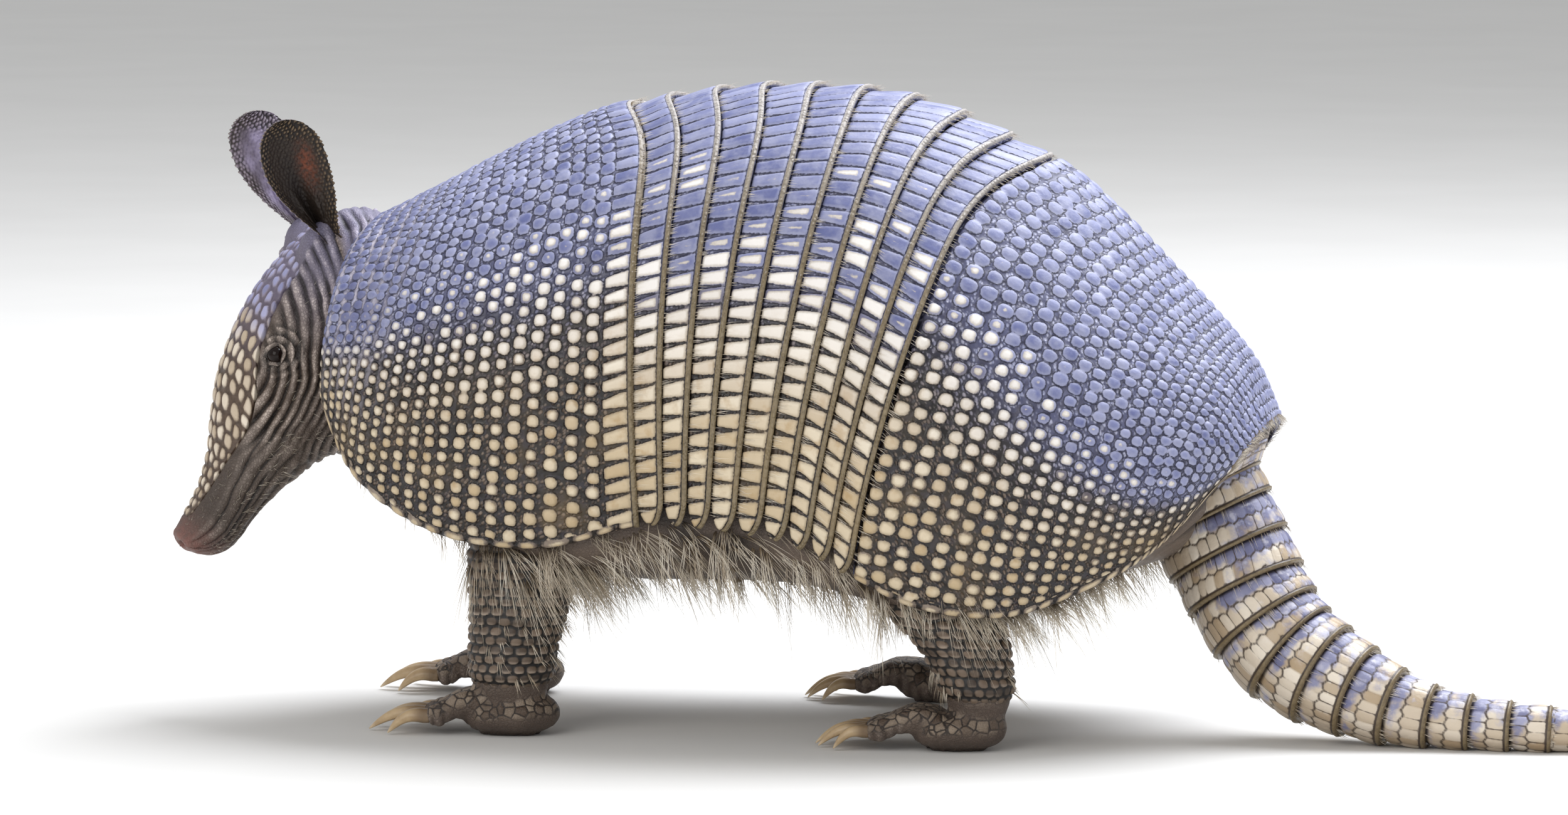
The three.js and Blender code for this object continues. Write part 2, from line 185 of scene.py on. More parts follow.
def closedTube(loops):
    # points and faces of a tube of closed loops with a fan over each end, the fans' middles coming last
    rows, columns = loops.shape[:2]
    points = np.concatenate([loops.reshape(-1, 3), loops[0].mean(axis=0)[None], loops[-1].mean(axis=0)[None]])
    first, last = np.arange(columns), (rows - 1) * columns + np.arange(columns)
    tips = np.full(columns, rows * columns)
    return points, outwardFaces(points, [
        gridFaces(rows, columns, True), np.stack([np.roll(first, -1), first, tips], axis=-1),
        np.stack([last, np.roll(last, -1), tips + 1], axis=-1)])


def sleeve(outer, inner):
    # points and faces of one closed wall: outer loops one way, inner loops back, the last joined to the first
    loops = np.concatenate([outer, inner])
    rows, columns = loops.shape[:2]
    points = loops.reshape(-1, 3)
    first, last = np.arange(columns), (rows - 1) * columns + np.arange(columns)
    closing = np.stack([last, np.roll(last, -1), np.roll(first, -1), first], axis=-1)
    return points, outwardFaces(points, [gridFaces(rows, columns, True), closing])


def twoSided(top, under):
    # points and faces of a sheet: a grid, the grid below it and a wall round their border
    rows, columns = top.shape[:2]
    half = rows * columns
    points = np.concatenate([top.reshape(-1, 3), under.reshape(-1, 3)])
    loop = borderLoop(rows, columns)
    wall = np.stack([np.roll(loop, -1), loop, loop + half, np.roll(loop, -1) + half], axis=-1)
    below = gridFaces(rows, columns, start=half)[:, ::-1]
    return points, outwardFaces(points, [gridFaces(rows, columns), below, wall])


def makePiece(name, points, faces, material, values=None, fills=None, uv=None, uvName="place"):
    # one mesh object from points in millimetres; faces is a list of index arrays, values are point attributes
    # and uv is a pair of them, each continued with its fill, or 0, where it is shorter than the points
    placed = (np.asarray(points, float) + [shiftX, 0, 0]) * 0.001
    corners = np.concatenate([f.ravel() for f in faces])
    sizes = np.concatenate([np.full(len(f), f.shape[1]) for f in faces])
    mesh = bpy.data.meshes.new(name)
    mesh.vertices.add(len(placed))
    mesh.vertices.foreach_set("co", placed.astype(np.float32).ravel())
    mesh.loops.add(len(corners))
    mesh.loops.foreach_set("vertex_index", corners.astype(np.int32))
    mesh.polygons.add(len(sizes))
    mesh.polygons.foreach_set("loop_start", (np.cumsum(sizes) - sizes).astype(np.int32))
    mesh.polygons.foreach_set("use_smooth", np.full(len(sizes), True))
    mesh.update(calc_edges=True)
    for key, data in (values or {}).items():
        layer = mesh.attributes.new(key, "FLOAT", "POINT")
        full = padded(data, len(placed), (fills or {}).get(key, 0.0))
        layer.data.foreach_set("value", full.astype(np.float32))
    if uv is not None:
        layer = mesh.uv_layers.new(name=uvName)
        flat = np.stack([padded(v, len(placed)) for v in uv], axis=-1)
        layer.data.foreach_set("uv", flat.astype(np.float32)[corners].ravel())
    mesh.materials.append(material)
    mesh.validate()
    piece = bpy.data.objects.new(name, mesh)
    bpy.context.scene.collection.objects.link(piece)
    return piece


def settle(piece, slot, *nodes):
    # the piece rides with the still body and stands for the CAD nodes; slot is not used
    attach(piece, "root")
    if nodes:
        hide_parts(*nodes)
    return piece


# materials

def tone(red, green, blue):
    # a colour given in screen values 0 to 255, as light
    c = np.array([red, green, blue]) / 255
    light = np.where(c <= 0.04045, c / 12.92, ((c + 0.055) / 1.055) ** 2.4)
    return (*light, 1.0)


class Finish:
    # a procedural material: a principled shader and short calls for the nodes that feed it
    def __init__(self, name, rough=0.5, **sockets):
        self.material = bpy.data.materials.new(name)
        self.material.use_nodes = True
        self.tree = self.material.node_tree
        self.tree.nodes.clear()
        self.shader = self.tree.nodes.new("ShaderNodeBsdfPrincipled")
        output = self.tree.nodes.new("ShaderNodeOutputMaterial")
        self.tree.links.new(self.shader.outputs[0], output.inputs[0])
        self.shader.inputs["Roughness"].default_value = rough
        for key, value in sockets.items():
            self.shader.inputs[key.replace("_", " ")].default_value = value

    def node(self, kind, inputs, out=0, **settings):
        # a node of a kind with its inputs set or linked, giving back one of its outputs
        made = self.tree.nodes.new("ShaderNode" + kind)
        for key, value in settings.items():
            setattr(made, key, value)
        for key, value in inputs.items():
            if isinstance(value, bpy.types.NodeSocket):
                self.tree.links.new(value, made.inputs[key])
            else:
                made.inputs[key].default_value = value
        return made.outputs[out]

    def values(self, keys):
        # the point attributes of these names
        return [self.node("Attribute", {}, 2, attribute_name=key) for key in keys.split()]

    # arithmetic on sockets and numbers
    def math(self, operation, a, b=0.0, c=0.0):
        return self.node("Math", {0: a, 1: b, 2: c}, operation=operation)

    def plus(self, a, b):
        return self.math("ADD", a, b)

    def minus(self, a, b):
        return self.math("SUBTRACT", a, b)

    def times(self, a, b):
        return self.math("MULTIPLY", a, b)

    def timesPlus(self, a, b, c):
        return self.math("MULTIPLY_ADD", a, b, c)

    def span(self, x, low, high, a=0.0, b=1.0):
        # x between low and high taken to between a and b, eased
        keys = {"Value": x, "From Min": low, "From Max": high, "To Min": a, "To Max": b}
        return self.node("MapRange", keys, interpolation_type="SMOOTHSTEP")

    def blend(self, factor, a, b):
        # one colour at 0, the other at 1, each a socket or three screen values
        a, b = (tone(*c) if isinstance(c, tuple) else c for c in (a, b))
        return self.node("Mix", {0: factor, 6: a, 7: b}, 2, data_type="RGBA")

    def here(self):
        # the point itself, in metres
        return self.node("TexCoord", {}, 3)

    def noise(self, scale, detail=3.0, rough=0.55, where=None):
        # soft cloudy values 0 to 1, scale of them in a metre
        keys = {"Vector": where or self.here(), "Scale": scale, "Detail": detail, "Roughness": rough}
        return self.node("TexNoise", keys)

    def cells(self, scale, feature="F1", out=0, where=None, random=1.0):
        # distance to the nearest of scattered points, or to the border between two of them
        keys = {"Vector": where or self.here(), "Scale": scale, "Randomness": random}
        return self.node("TexVoronoi", keys, out, feature=feature)

    def cellChance(self, scale, where=None, random=1.0):
        # a value 0 to 1 for each of those cells
        return self.node("SeparateColor", {0: self.cells(scale, "F1", 1, where, random)})

    def bump(self, height, distance, strength):
        # the normal that a height of this many metres gives
        return self.node("Bump", {"Height": height, "Distance": distance, "Strength": strength})

    def feed(self, **sockets):
        # links sockets to the shader's inputs and gives back the material
        for key, socket in sockets.items():
            self.tree.links.new(socket, self.shader.inputs[key.replace("_", " ")])
        return self.material


# camera, floor and light

camera = dict(azimuth=12.0, elevation=6.0, distance=2.9, target=(0.0, 0.0, 105.6), across=0.525, sensor=36.0)


def addCamera():
    # looks from the left flank, a little from behind and above, through a long lens
    azimuth, elevation = math.radians(camera["azimuth"]), math.radians(camera["elevation"])
    back = Vector((math.sin(azimuth) * math.cos(elevation), -math.cos(azimuth) * math.cos(elevation),
                   math.sin(elevation)))
    data = bpy.data.cameras.new("camera")
    data.sensor_width = camera["sensor"]
    data.sensor_fit = "HORIZONTAL"
    data.lens = camera["sensor"] * camera["distance"] / camera["across"]
    view = bpy.data.objects.new("camera", data)
    x, y, z = camera["target"]
    view.location = Vector(((x + shiftX) / 1000, y / 1000, z / 1000)) + back * camera["distance"]
    view.rotation_mode = "QUATERNION"
    view.rotation_quaternion = (-back).to_track_quat("-Z", "Y")
    bpy.context.scene.collection.objects.link(view)
    bpy.context.scene.camera = view


studio = dict(floorReach=40.0, world=0.6,
              overhead=dict(place=(0.45, 0.75, 1.7), size=1.5, power=64.0, colour=(0.93, 0.95, 1.0)),
              front=dict(place=(-0.9, -1.9, 1.1), size=1.5, power=17.0, colour=(1.0, 0.97, 0.93)))


def addStudio():
    # a wide pale floor, two broad soft lamps and an even sky
    reach = studio["floorReach"] * 1000
    corners = np.array([[-reach, -reach, 0], [reach, -reach, 0], [reach, reach, 0], [-reach, reach, 0]])
    paper = Finish("studio_paper", 0.85)
    grain = paper.noise(9.0, 2.0)
    paper.feed(Base_Color=paper.blend(grain, (226, 225, 222), (219, 218, 215)))
    floor = makePiece("floor", corners, [np.array([[0, 1, 2, 3]])], paper.material)
    world = bpy.data.worlds.new("studio")
    world.use_nodes = True
    sky = world.node_tree.nodes["Background"]
    sky.inputs["Color"].default_value = (0.97, 0.98, 1.0, 1)
    sky.inputs["Strength"].default_value = studio["world"]
    bpy.context.scene.world = world
    for name in ("overhead", "front"):
        lamp = studio[name]
        data = bpy.data.lights.new(name, "AREA")
        data.size = lamp["size"]
        data.energy = lamp["power"]
        data.color = lamp["colour"]
        light = bpy.data.objects.new(name, data)
        light.location = lamp["place"]
        aim = Vector((0, 0, 0.1)) - light.location
        light.rotation_euler = aim.to_track_quat("-Z", "Y").to_euler()
        bpy.context.scene.collection.objects.link(light)
    bpy.context.scene.view_settings.view_transform = "Standard"


addCamera()
addStudio()
print("camera, floor and lights")


# carapace

def carapacePoint(at, turn, depth=0.0):
    # x and z run from the spine point to the rim point with the turn's cosine and y with its sine; the bow
    # sets in beside the spine and fades towards the rim; depth draws the section in towards its middle
    topX, topZ, rimX, rimZ, width, bow = (along(carapaceTable, at, c) for c in range(1, 7))
    fall = 1 - math.cos(math.radians(carapace["wrap"]))
    angle = np.radians(turn)
    reach = np.hypot(topX - rimX, topZ - rimZ) / fall
    share = 1 / fall + ((1 - np.cos(angle)) / fall - 1 / fall) * (1 - depth / reach)
    lean = bow * (1 - np.exp(-(turn / carapace["bowRise"]) ** 2)) * (1 - (turn / carapace["wrap"]) ** 2)
    x = mix(topX, rimX, share) + lean
    y = (width - depth) * np.sin(angle)
    return np.stack([x, y, mix(topZ, rimZ, share)], axis=-1)


def cellSize(points, column, row):
    # size in mm of one cell across and down the grid, and how far down a step across leads
    (rowA, rowB), (columnA, columnB) = (np.gradient(v) for v in (row, column))
    stepA, stepB = np.gradient(points, axis=(0, 1))
    det = columnA * rowB - columnB * rowA
    det = np.where(np.abs(det) < 1e-6, 1e-6, det)[..., None]
    perColumn = (stepA * rowB[..., None] - stepB * rowA[..., None]) / det
    perRow = (stepB * columnA[..., None] - stepA * columnB[..., None]) / det
    height = np.linalg.norm(perRow, axis=-1)
    slant = np.sum(perColumn * perRow, axis=-1) / height
    width = np.sqrt(np.clip(np.sum(perColumn ** 2, axis=-1) - slant ** 2, 0.5, None))
    return width, height, slant


def nearestScute(column, row, width, height, radius, seed, square=2.6, jitter=0.14, stretch=1.0, wrap=None,
                 slant=0.0):
    # signed distance in mm to the nearest rounded-square scute of a staggered grid, negative inside, a random
    # value for each scute, and the distance to the seam shared with the next nearest; stretch lengthens
    # scutes along the columns' width, wrap joins the last row to the first
    best = np.full(column.shape, 1e9)
    second = np.full(column.shape, 1e9)
    own = np.zeros(column.shape)
    for stepColumn in (-1, 0, 1):
        c = np.floor(column + 0.5) + stepColumn
        stagger = np.where(c % 2 == 0, 0.0, 0.5)
        for stepRow in (-1, 0, 1):
            r = np.floor(row - stagger + 0.5) + stepRow
            key = r if wrap is None else r % wrap
            across = (column - c - (chance(c, key, seed) - 0.5) * jitter) * width / stretch
            down = (row - r - stagger - (chance(c, key, seed + 1) - 0.5) * jitter * 1.3) * height
            down = down + (column - c) * slant
            size = radius * (0.88 + 0.2 * chance(c, key, seed + 2))
            wobble = 0.03 * radius * np.sin(3 * np.arctan2(down, across) + 6.3 * chance(c, key, seed + 3))
            reach = (np.abs(across) ** square + np.abs(down * 1.04) ** square) ** (1 / square)
            gap = reach - size - wobble
            nearer = gap < best
            second = np.where(nearer, best, np.minimum(second, gap))
            best = np.where(nearer, gap, best)
            own = np.where(nearer, chance(c, key, seed + 4), own)
    return best, own, (second - best) / 2


shieldDetail = dict(columnWidth=dict(rear=6.3, front=6.9), pitch=5.75, radius=dict(rear=2.48, front=2.4),
                    least=dict(rear=0.66, front=0.6), plateLength=9.5, rimWidth=1.6, dome=0.85, sink=0.35,
                    thickness=4.0, edgeThickness=dict(rear=2.6, front=3.6), grain=0.74, midFlank=62.0,
                    across=340.0, rimPlate=4.0, rimPitch=8.6)
# turn at which scutes turn from slate to cream, by place along the body
creamTable = np.array([[0, 82], [1, 67], [2, 58], [4, 52], [7, 50], [8, 57], [9, 67], [10, 78], [11, 88],
                       [12, 100]], float)


def shellLayout(start, end, plateEnd):
    # grid of a shield with its lengths in mm: from its banded edge, taken at mid flank, and from the spine,
    # and how much longer each column's steps are than those at mid flank
    grain, midFlank, wrap = shieldDetail["grain"], shieldDetail["midFlank"], carapace["wrap"]
    fine = np.linspace(start, end, 200)
    run = lengthsAlong(carapacePoint(fine, np.full(200, midFlank)), 0)
    if plateEnd == "rear":
        run = run[-1] - run
    rows = int(abs(run[-1] - run[0]) / grain)
    target = np.linspace(run[0], run[-1], rows)
    order = np.argsort(run)
    at = np.interp(target, run[order], fine[order])
    columns = int(shieldDetail["across"] / grain) | 1
    at, turn = grid(at, np.linspace(-wrap, wrap, columns))
    base = carapacePoint(at, turn)
    stepAlong = np.linalg.norm(np.gradient(base, axis=0), axis=-1)
    scale = stepAlong / stepAlong[:, [int((wrap - midFlank) / (2 * wrap) * (columns - 1))]]
    distance = np.broadcast_to(target[:, None], at.shape)
    return at, turn, base, distance, fromMiddle(base), scale


def closeShell(outer, at, turn, thickness, rings=12):
    # points and faces of a sheet closed below: its border is carried down and drawn in ring by ring
    rows, columns = at.shape
    previous = borderLoop(rows, columns)
    edgeAt, edgeTurn = at.ravel()[previous], turn.ravel()[previous]
    middleAt = np.array([(at[0, 0] + at[-1, 0]) / 2])
    points = [outer.reshape(-1, 3)]
    faces = [gridFaces(rows, columns)]
    count, start = len(previous), rows * columns
    for share in np.concatenate([[1.0], np.linspace(0.985, 0.01, rings)]):
        ringAt = middleAt + (edgeAt - middleAt) * share
        points.append(carapacePoint(ringAt, edgeTurn * share, thickness(ringAt)))
        ring = start + np.arange(count)
        faces.append(np.stack([np.roll(previous, -1), previous, ring, np.roll(ring, -1)], axis=-1))
        previous = ring
        start += count
    points.append(carapacePoint(middleAt, np.array([0.0]), thickness(middleAt)))
    faces.append(np.stack([np.roll(previous, -1), previous, np.full(count, start)], axis=-1))
    return np.concatenate(points), faces


def shieldPiece(name, node, start, end, plateEnd, seed):
    # a shield: rounded scutes in staggered columns, long plates and a raised rim along a rear banded edge,
    # and a row of long scutes along its lower rim. Its attributes: edge and spot are mm outside a scute and
    # its cream spot, own is a scute's chance, low is -1 on the back to 1 at the rim, the rest are shares.
    d = shieldDetail
    isRear = plateEnd == "rear"
    at, turn, base, distance, around, scale = shellLayout(start, end, plateEnd)
    toRim = around[:, -1:] - np.abs(around)
    front = d["rimWidth"] + (d["plateLength"] if isRear else 0.0)
    least, radius = d["least"][plateEnd], d["radius"][plateEnd]
    steps = np.linspace(0, distance.max(), 400)
    shrinking = 1 - (1 - least) * ease(15, 105, steps)
    count = np.cumsum(1 / (d["columnWidth"][plateEnd] * shrinking)) * steps[1]
    column = np.interp(distance, steps, count) - np.interp(front, steps, count) - 0.42
    shrink = np.interp(distance, steps, shrinking)
    row = around / (d["pitch"] * shrink)
    width, height, slant = cellSize(base, column, row)
    creamTurn = along(creamTable, at, 1)
    side = np.abs(turn) - creamTurn
    blue = ease(8, -14, side)
    radius = np.minimum(radius * shrink * (1 + 0.14 * blue),
                        (0.45 + 0.04 * blue) * np.minimum(width, height * 1.06))
    edge, own, _ = nearestScute(column, row, width, height, radius, seed, slant=slant,
                                stretch=1.0 if isRear else 1.1)

    # long scutes along the lower rim
    low = toRim / d["rimPlate"]
    lowColumn = distance * scale / d["rimPitch"]
    lowCell = np.floor(lowColumn)
    acrossLow = (lowColumn - lowCell - 0.5 - 0.1 * (chance(lowCell, 0, seed) - 0.5)) * d["rimPitch"] / 2.3
    downLow = (low - 0.55) * d["rimPlate"]
    lowEdge = (np.abs(acrossLow) ** 3.4 + np.abs(downLow) ** 3.4) ** (1 / 3.4) - 1.62
    isLow = low < 1.0
    edge = np.where(isLow, lowEdge, edge)
    own = np.where(isLow, chance(lowCell, 0, seed + 9), own)

    # long plates and rim along the banded edge
    rim = np.zeros_like(edge)
    if isRear:
        isPlate = (distance < front) & ~isLow
        plateEdge, plateOwn = wedgePlate(around, distance, front, d["rimWidth"], d["pitch"], seed)
        edge = np.where(isPlate, plateEdge, edge)
        own = np.where(isPlate, plateOwn, own)
        rim = ease(d["rimWidth"] + 0.3, d["rimWidth"] - 0.3, distance)
        edge = np.where(rim > 0.5, 1.0, edge)

    # slate above, cream below; near their border a scute shows a cream spot that grows with its own chance
    cream = ease(-13, 9, side + (own - 0.5) * 20)
    cream = np.where(isLow, 0.9, cream)
    lowness = np.clip(side / np.maximum(carapace["wrap"] - creamTurn, 12), -1, 1)
    spot = edge + 0.1 + 2.5 * (1 - cream) + 0.3 * (own > 0.8)

    inside = ease(0.35, -0.95, edge)
    lift = d["dome"] * (0.6 * inside + 0.55 * np.clip(-edge / radius, 0, 1) ** 0.7) * (0.8 + 0.4 * own)
    lift = lift * (1 - 0.35 * blue)
    granules = 0.25 * roughness(base, 3.0, seed, 2) + 0.3 * roughness(base, 1.7, seed + 5, 1)
    lift = lift + (granules - d["sink"] * (1 - 0.4 * blue)) * (1 - inside)
    lift = np.where(rim > 0, mix(lift, 0.4, rim), lift)
    nearEdge, farEdge = distance, distance.max() - distance
    if not isRear:
        nearEdge, farEdge = farEdge, nearEdge
        lift = lift - 2.6 * ease(2.6, 0.0, distance)
    lift = lift - 1.3 * ease(1.2, 0.0, np.minimum(nearEdge, toRim)) - 1.2 * ease(1.6, 0.0, farEdge)
    outer = carapacePoint(at, turn, -lift)

    def thickness(place):
        # thinner at the banded edge, full half a step away from it
        t = ease(0.0, 0.5, np.abs(place - (end if isRear else start)))
        return mix(d["edgeThickness"][plateEnd], d["thickness"], t)

    points, faces = closeShell(outer, at, turn, thickness)
    fore = 0 * at
    if isRear:
        faces = [f[:, ::-1] for f in faces]
        fore = ease(1.5, 0.4, at) * ease(112, 74, np.abs(turn))
    waver = column + 0.5 * roughness(base, 7.0, seed + 3, 3)
    ridge = fore * ease(0.2, 0.42, np.abs(waver - np.round(waver)))
    values = dict(edge=edge, spot=spot, own=own, low=lowness, rim=rim, fore=fore, ridge=ridge, tuck=0 * at)
    piece = makePiece(name, points, faces, shellFinish, values, dict(edge=1, spot=1),
                      (distance * scale * 0.001, around * 0.001))
    return settle(piece, "shell", node)


def wedgePlate(around, distance, length, rimWidth, pitch, seed, opening=1.0):
    # signed distance to a plate whose sides open a wedge towards the end away from the rim, and its chance
    plateRow = around / pitch
    cell = np.floor(plateRow + 0.5)
    part = np.abs(plateRow - cell)
    inward = np.clip((distance - rimWidth) / (length - rimWidth), 0, 1)
    wedge = pitch * (0.04 + 0.15 * opening * inward ** 1.5 * (0.6 + 0.8 * chance(cell, 3, seed)))
    side = part * pitch - (0.5 * pitch - wedge)
    ends = np.maximum(distance - (length - 0.7), rimWidth + 0.25 - distance)
    return np.maximum(side, ends), chance(cell, 5, seed)


def addShellFinish():
    # slate to cream scutes in a mesh of small dark scales, horny sheen, fine grain, olive worn rims
    f = Finish("horny_shell")
    uv = f.node("UVMap", {}, uv_map="place")
    edge, spot, own, low, rim, fore, ridge, tuck = f.values("edge spot own low rim fore ridge tuck")
    fine = f.noise(900.0, 3.0)
    broad = f.noise(38.0, 3.0)
    blotch = f.noise(190.0, 3.0)
    ragged = f.times(f.minus(fine, 0.5), 0.8)
    edgeSoft = f.plus(edge, ragged)
    spotSoft = f.plus(spot, ragged)
    scute = f.span(edgeSoft, 0.1, -0.25)
    pebble = f.span(f.cells(640.0, "F1", 0, uv, 0.8), 0.62, 0.12)
    tint = f.cellChance(640.0, uv, 0.8)
    line = f.minus(1.0, f.span(pebble, 0.0, 0.6))
    # small scales between the scutes, each darker towards its border: dark seams, and painted shade over the
    # scales' rounded sides
    upper = f.blend(tint, (138, 142, 174), (180, 182, 206))
    lower = f.blend(tint, (62, 51, 44), (128, 112, 98))
    between = f.blend(f.span(low, 0.0, 0.45), upper, lower)
    seamShadeColour = f.blend(f.span(low, 0.0, 0.3), (62, 64, 96), (18, 14, 13))
    between = f.blend(f.times(line, f.span(low, 0.0, 0.3, 0.85, 0.95)), between, seamShadeColour)
    between = f.blend(f.span(f.noise(300.0, 2.0), 0.5, 0.62, 0.0, 0.45), between, (52, 48, 60))
    # the scutes
    slate = f.blend(own, (94, 101, 148), (142, 147, 184))
    slate = f.blend(f.span(blotch, 0.35, 0.7, 0.0, 0.5), slate, (168, 170, 192))
    slate = f.blend(f.span(edgeSoft, -0.3, -1.2, 0.3, 0.0), slate, (178, 180, 204))
    dull = f.blend(own, (96, 84, 76), (132, 118, 104))
    ground = f.blend(f.span(low, 0.02, 0.3), slate, dull)
    creamHigh = f.blend(own, (226, 220, 214), (244, 240, 236))
    creamLow = f.blend(own, (190, 168, 132), (222, 208, 182))
    ivory = f.blend(f.span(low, 0.05, 0.7), creamHigh, creamLow)
    ivory = f.blend(f.span(spotSoft, -1.3, -0.2, 0.0, 0.5), ivory, (150, 134, 108))
    ivory = f.blend(f.times(f.span(blotch, 0.5, 0.75), f.span(low, 0.1, 0.6, 0.0, 0.5)), ivory,
                    (168, 134, 82))
    plate = f.blend(f.span(spotSoft, 0.05, -0.45), ground, ivory)
    colour = f.blend(scute, between, plate)
    # outline: a dark ring on each scute's border, partly dark seam and partly painted shade round the raised
    # scute
    outline = f.times(f.span(f.math("ABSOLUTE", f.plus(edgeSoft, -0.05)), 0.34, 0.04),
                     f.span(low, 0.0, 0.25, 0.85, 0.92))
    colour = f.blend(outline, colour, f.blend(f.span(low, 0.0, 0.3), (34, 34, 56), (20, 16, 17)))
    # pale lines over the fore part, painted shade on the tucked fronts, olive rims
    # pale lines between the scutes' columns, in colour alone, without relief
    paleAmount = f.times(f.minus(1.0, scute), f.span(blotch, 0.35, 0.55, 0.1, 0.85))
    colour = f.blend(f.times(f.times(fore, scute), f.span(own, 0.2, 0.9, 0.2, 0.75)), colour,
                     f.blend(f.span(low, 0.0, 0.3), (72, 76, 118), colour))
    colour = f.blend(f.times(ridge, paleAmount), colour, (190, 184, 196))
    # tuck: painted shade on fronts that lie under the piece before
    colour = f.blend(f.times(tuck, 0.9), colour, (30, 25, 26))
    rimColour = f.blend(f.span(low, -0.8, 0.1), f.blend(fine, (112, 104, 98), (206, 201, 196)),
                        f.blend(fine, (78, 66, 46), (158, 142, 112)))
    colour = f.blend(f.span(rim, 0.3, 0.7), colour, rimColour)
    dust = f.times(f.span(broad, 0.45, 0.75, 0.0, 0.3), f.span(low, 0.1, 1.0))
    colour = f.blend(dust, colour, (158, 132, 88))
    height = f.timesPlus(f.minus(1.0, scute), f.timesPlus(pebble, 1.6, -1.0), f.times(fine, 0.45))
    bumped = f.bump(height, 0.00032, 0.8)
    rough = f.plus(f.span(broad, 0.3, 0.7, 0.28, 0.42), f.span(low, -0.05, 0.1, 0.14, 0.0))
    return f.feed(Base_Color=colour, Normal=bumped, Roughness=rough)


shellFinish = addShellFinish()
shieldPiece("shoulderShield", "shoulder_shield", 0.0, carapace["shoulderEnd"], "rear", 3)
shieldPiece("hipShield", "hip_shield", carapace["hipStart"] - 0.02, carapace["hipEnd"], "front", 5)
print("shields")

bandDetail = dict(lap=0.14, rear=0.985, columns=471, rows=24, pitch=6.0, rimWidth=1.55, crown=0.34,
                  thickness=1.9, taper=7.0, creamTurn=57.0)


def bandPlace(k):
    # place along the body of the k-th band's front edge, counted from 0
    return carapace["shoulderEnd"] + k * (carapace["hipStart"] - carapace["shoulderEnd"]) / carapace["bands"]


def bandPiece(k):
    # a movable band: a profile from its tucked front over long plates to a raised rear rim and back below,
    # carried round the body; its ends round off at the lower rim
    d = bandDetail
    wrap, columns, rows = carapace["wrap"], d["columns"], d["rows"]
    front, rear = bandPlace(k - d["lap"]), bandPlace(k + d["rear"])
    under = np.array([1.0, 0.97, 0.8, 0.5, 0.2, 0.0])
    s, turn = grid(np.concatenate([np.linspace(0, 1, rows), under]), np.linspace(-wrap, wrap, columns))
    side = np.abs(turn)
    below = np.where(np.arange(len(s)) < rows, 0.0, 1.0)[:, None] + 0 * s
    ends = np.sqrt(np.clip(1 - (np.clip(side - (wrap - d["taper"]), 0, None) / d["taper"]) ** 2, 0.02, 1))
    place = mix(0.5, s, ends) * (rear - front) + front
    base = carapacePoint(place, turn)
    around = fromMiddle(base)
    distance = lengthsAlong(base[:rows][::-1], 0)[::-1]
    distance = np.concatenate([distance, np.zeros((len(under), columns))])
    length = distance[0] * (1 - d["lap"] / (d["lap"] + d["rear"])) + 0.8
    opening = mix(0.35, 1.0, ease(35, 62, side))
    edge, own = wedgePlate(around, distance, length, d["rimWidth"], d["pitch"], 20 + k, opening)
    rim = ease(d["rimWidth"] + 0.3, d["rimWidth"] - 0.2, distance) * (1 - below)
    edge = np.where(rim > 0.5, 1.0, edge) + below
    slate = 1 - ease(-22, 17, side - d["creamTurn"] + (own - 0.5) * 32)
    spot = edge + 0.05 + 2.6 * slate + 0.9 * slate * ease(0.55, 1.0, distance / length)
    # tuck: the band's front under the band before, darkened by the finish as painted shade
    tuck = ease(length * 0.86, length + 0.3, distance) * (1 - below) * ease(20, 70, side)
    inside = ease(0.35, -0.8, edge)
    lift = (0.1 - 2.9 * ease(length * 0.9, distance[0] + 0.2, distance)
            - mix(2.1, 1.0, ease(25, 75, side)) * ease(0.0, length, distance)
            + d["crown"] * inside - 0.3 * (1 - inside) * (1 - rim) + 0.6 * hump(distance, 0.95, 0.9)
            - 0.35 * hump(distance, d["rimWidth"] + 0.15, 0.35))
    depth = mix(-lift, np.where(s > 0.9, d["thickness"], mix(5.2, 2.4, s)), below) + 0.7 * (1 - ends)
    profiles = np.swapaxes(carapacePoint(place, turn, depth), 0, 1)
    points, faces = closedTube(profiles)
    values = dict(edge=edge, spot=spot, own=own, low=np.clip((side - 60) / 56, -1, 1), rim=rim, tuck=tuck,
                  fore=0 * s, ridge=0 * s)
    values = {key: v.T for key, v in values.items()}
    piece = makePiece(f"band{k + 1}", points, faces, shellFinish, values, dict(edge=1, spot=1),
                      (distance.T * 0.001, around.T * 0.001))
    return settle(piece, "bands", f"band_{k + 1}")


for k in range(carapace["bands"]):
    bandPiece(k)
print("bands")

tailPath = np.array([
    [139, 0, 83], [146, -1, 70], [154, -3, 55.5], [162, -6, 41.5], [172, -9, 30], [184, -12, 22.5],
    [197, -15, 17], [209, -17.5, 12.8], [222, -19, 10], [240, -20, 8.2], [262, -19.5, 7], [288, -16, 5.9],
    [316, -8, 4.9], [343, 3, 4.1], [371, 17, 3.4], [397, 35, 2.8], [419, 55, 2.2]])
tailRadii = np.array([[0, 22.5], [0.09, 20.8], [0.18, 19.2], [0.226, 18], [0.27, 15.6], [0.307, 13],
                      [0.347, 10.4], [0.4, 8.6], [0.54, 6.2], [0.72, 4.3], [1, 2.2]])
tail = dict(rings=12, pitch=13.2, gap=0.3, overlap=1.6, plateLength=6.3, plateWidth=3.6, thickness=1.4,
            rimWidth=1.25, rows=34, grain=0.72)


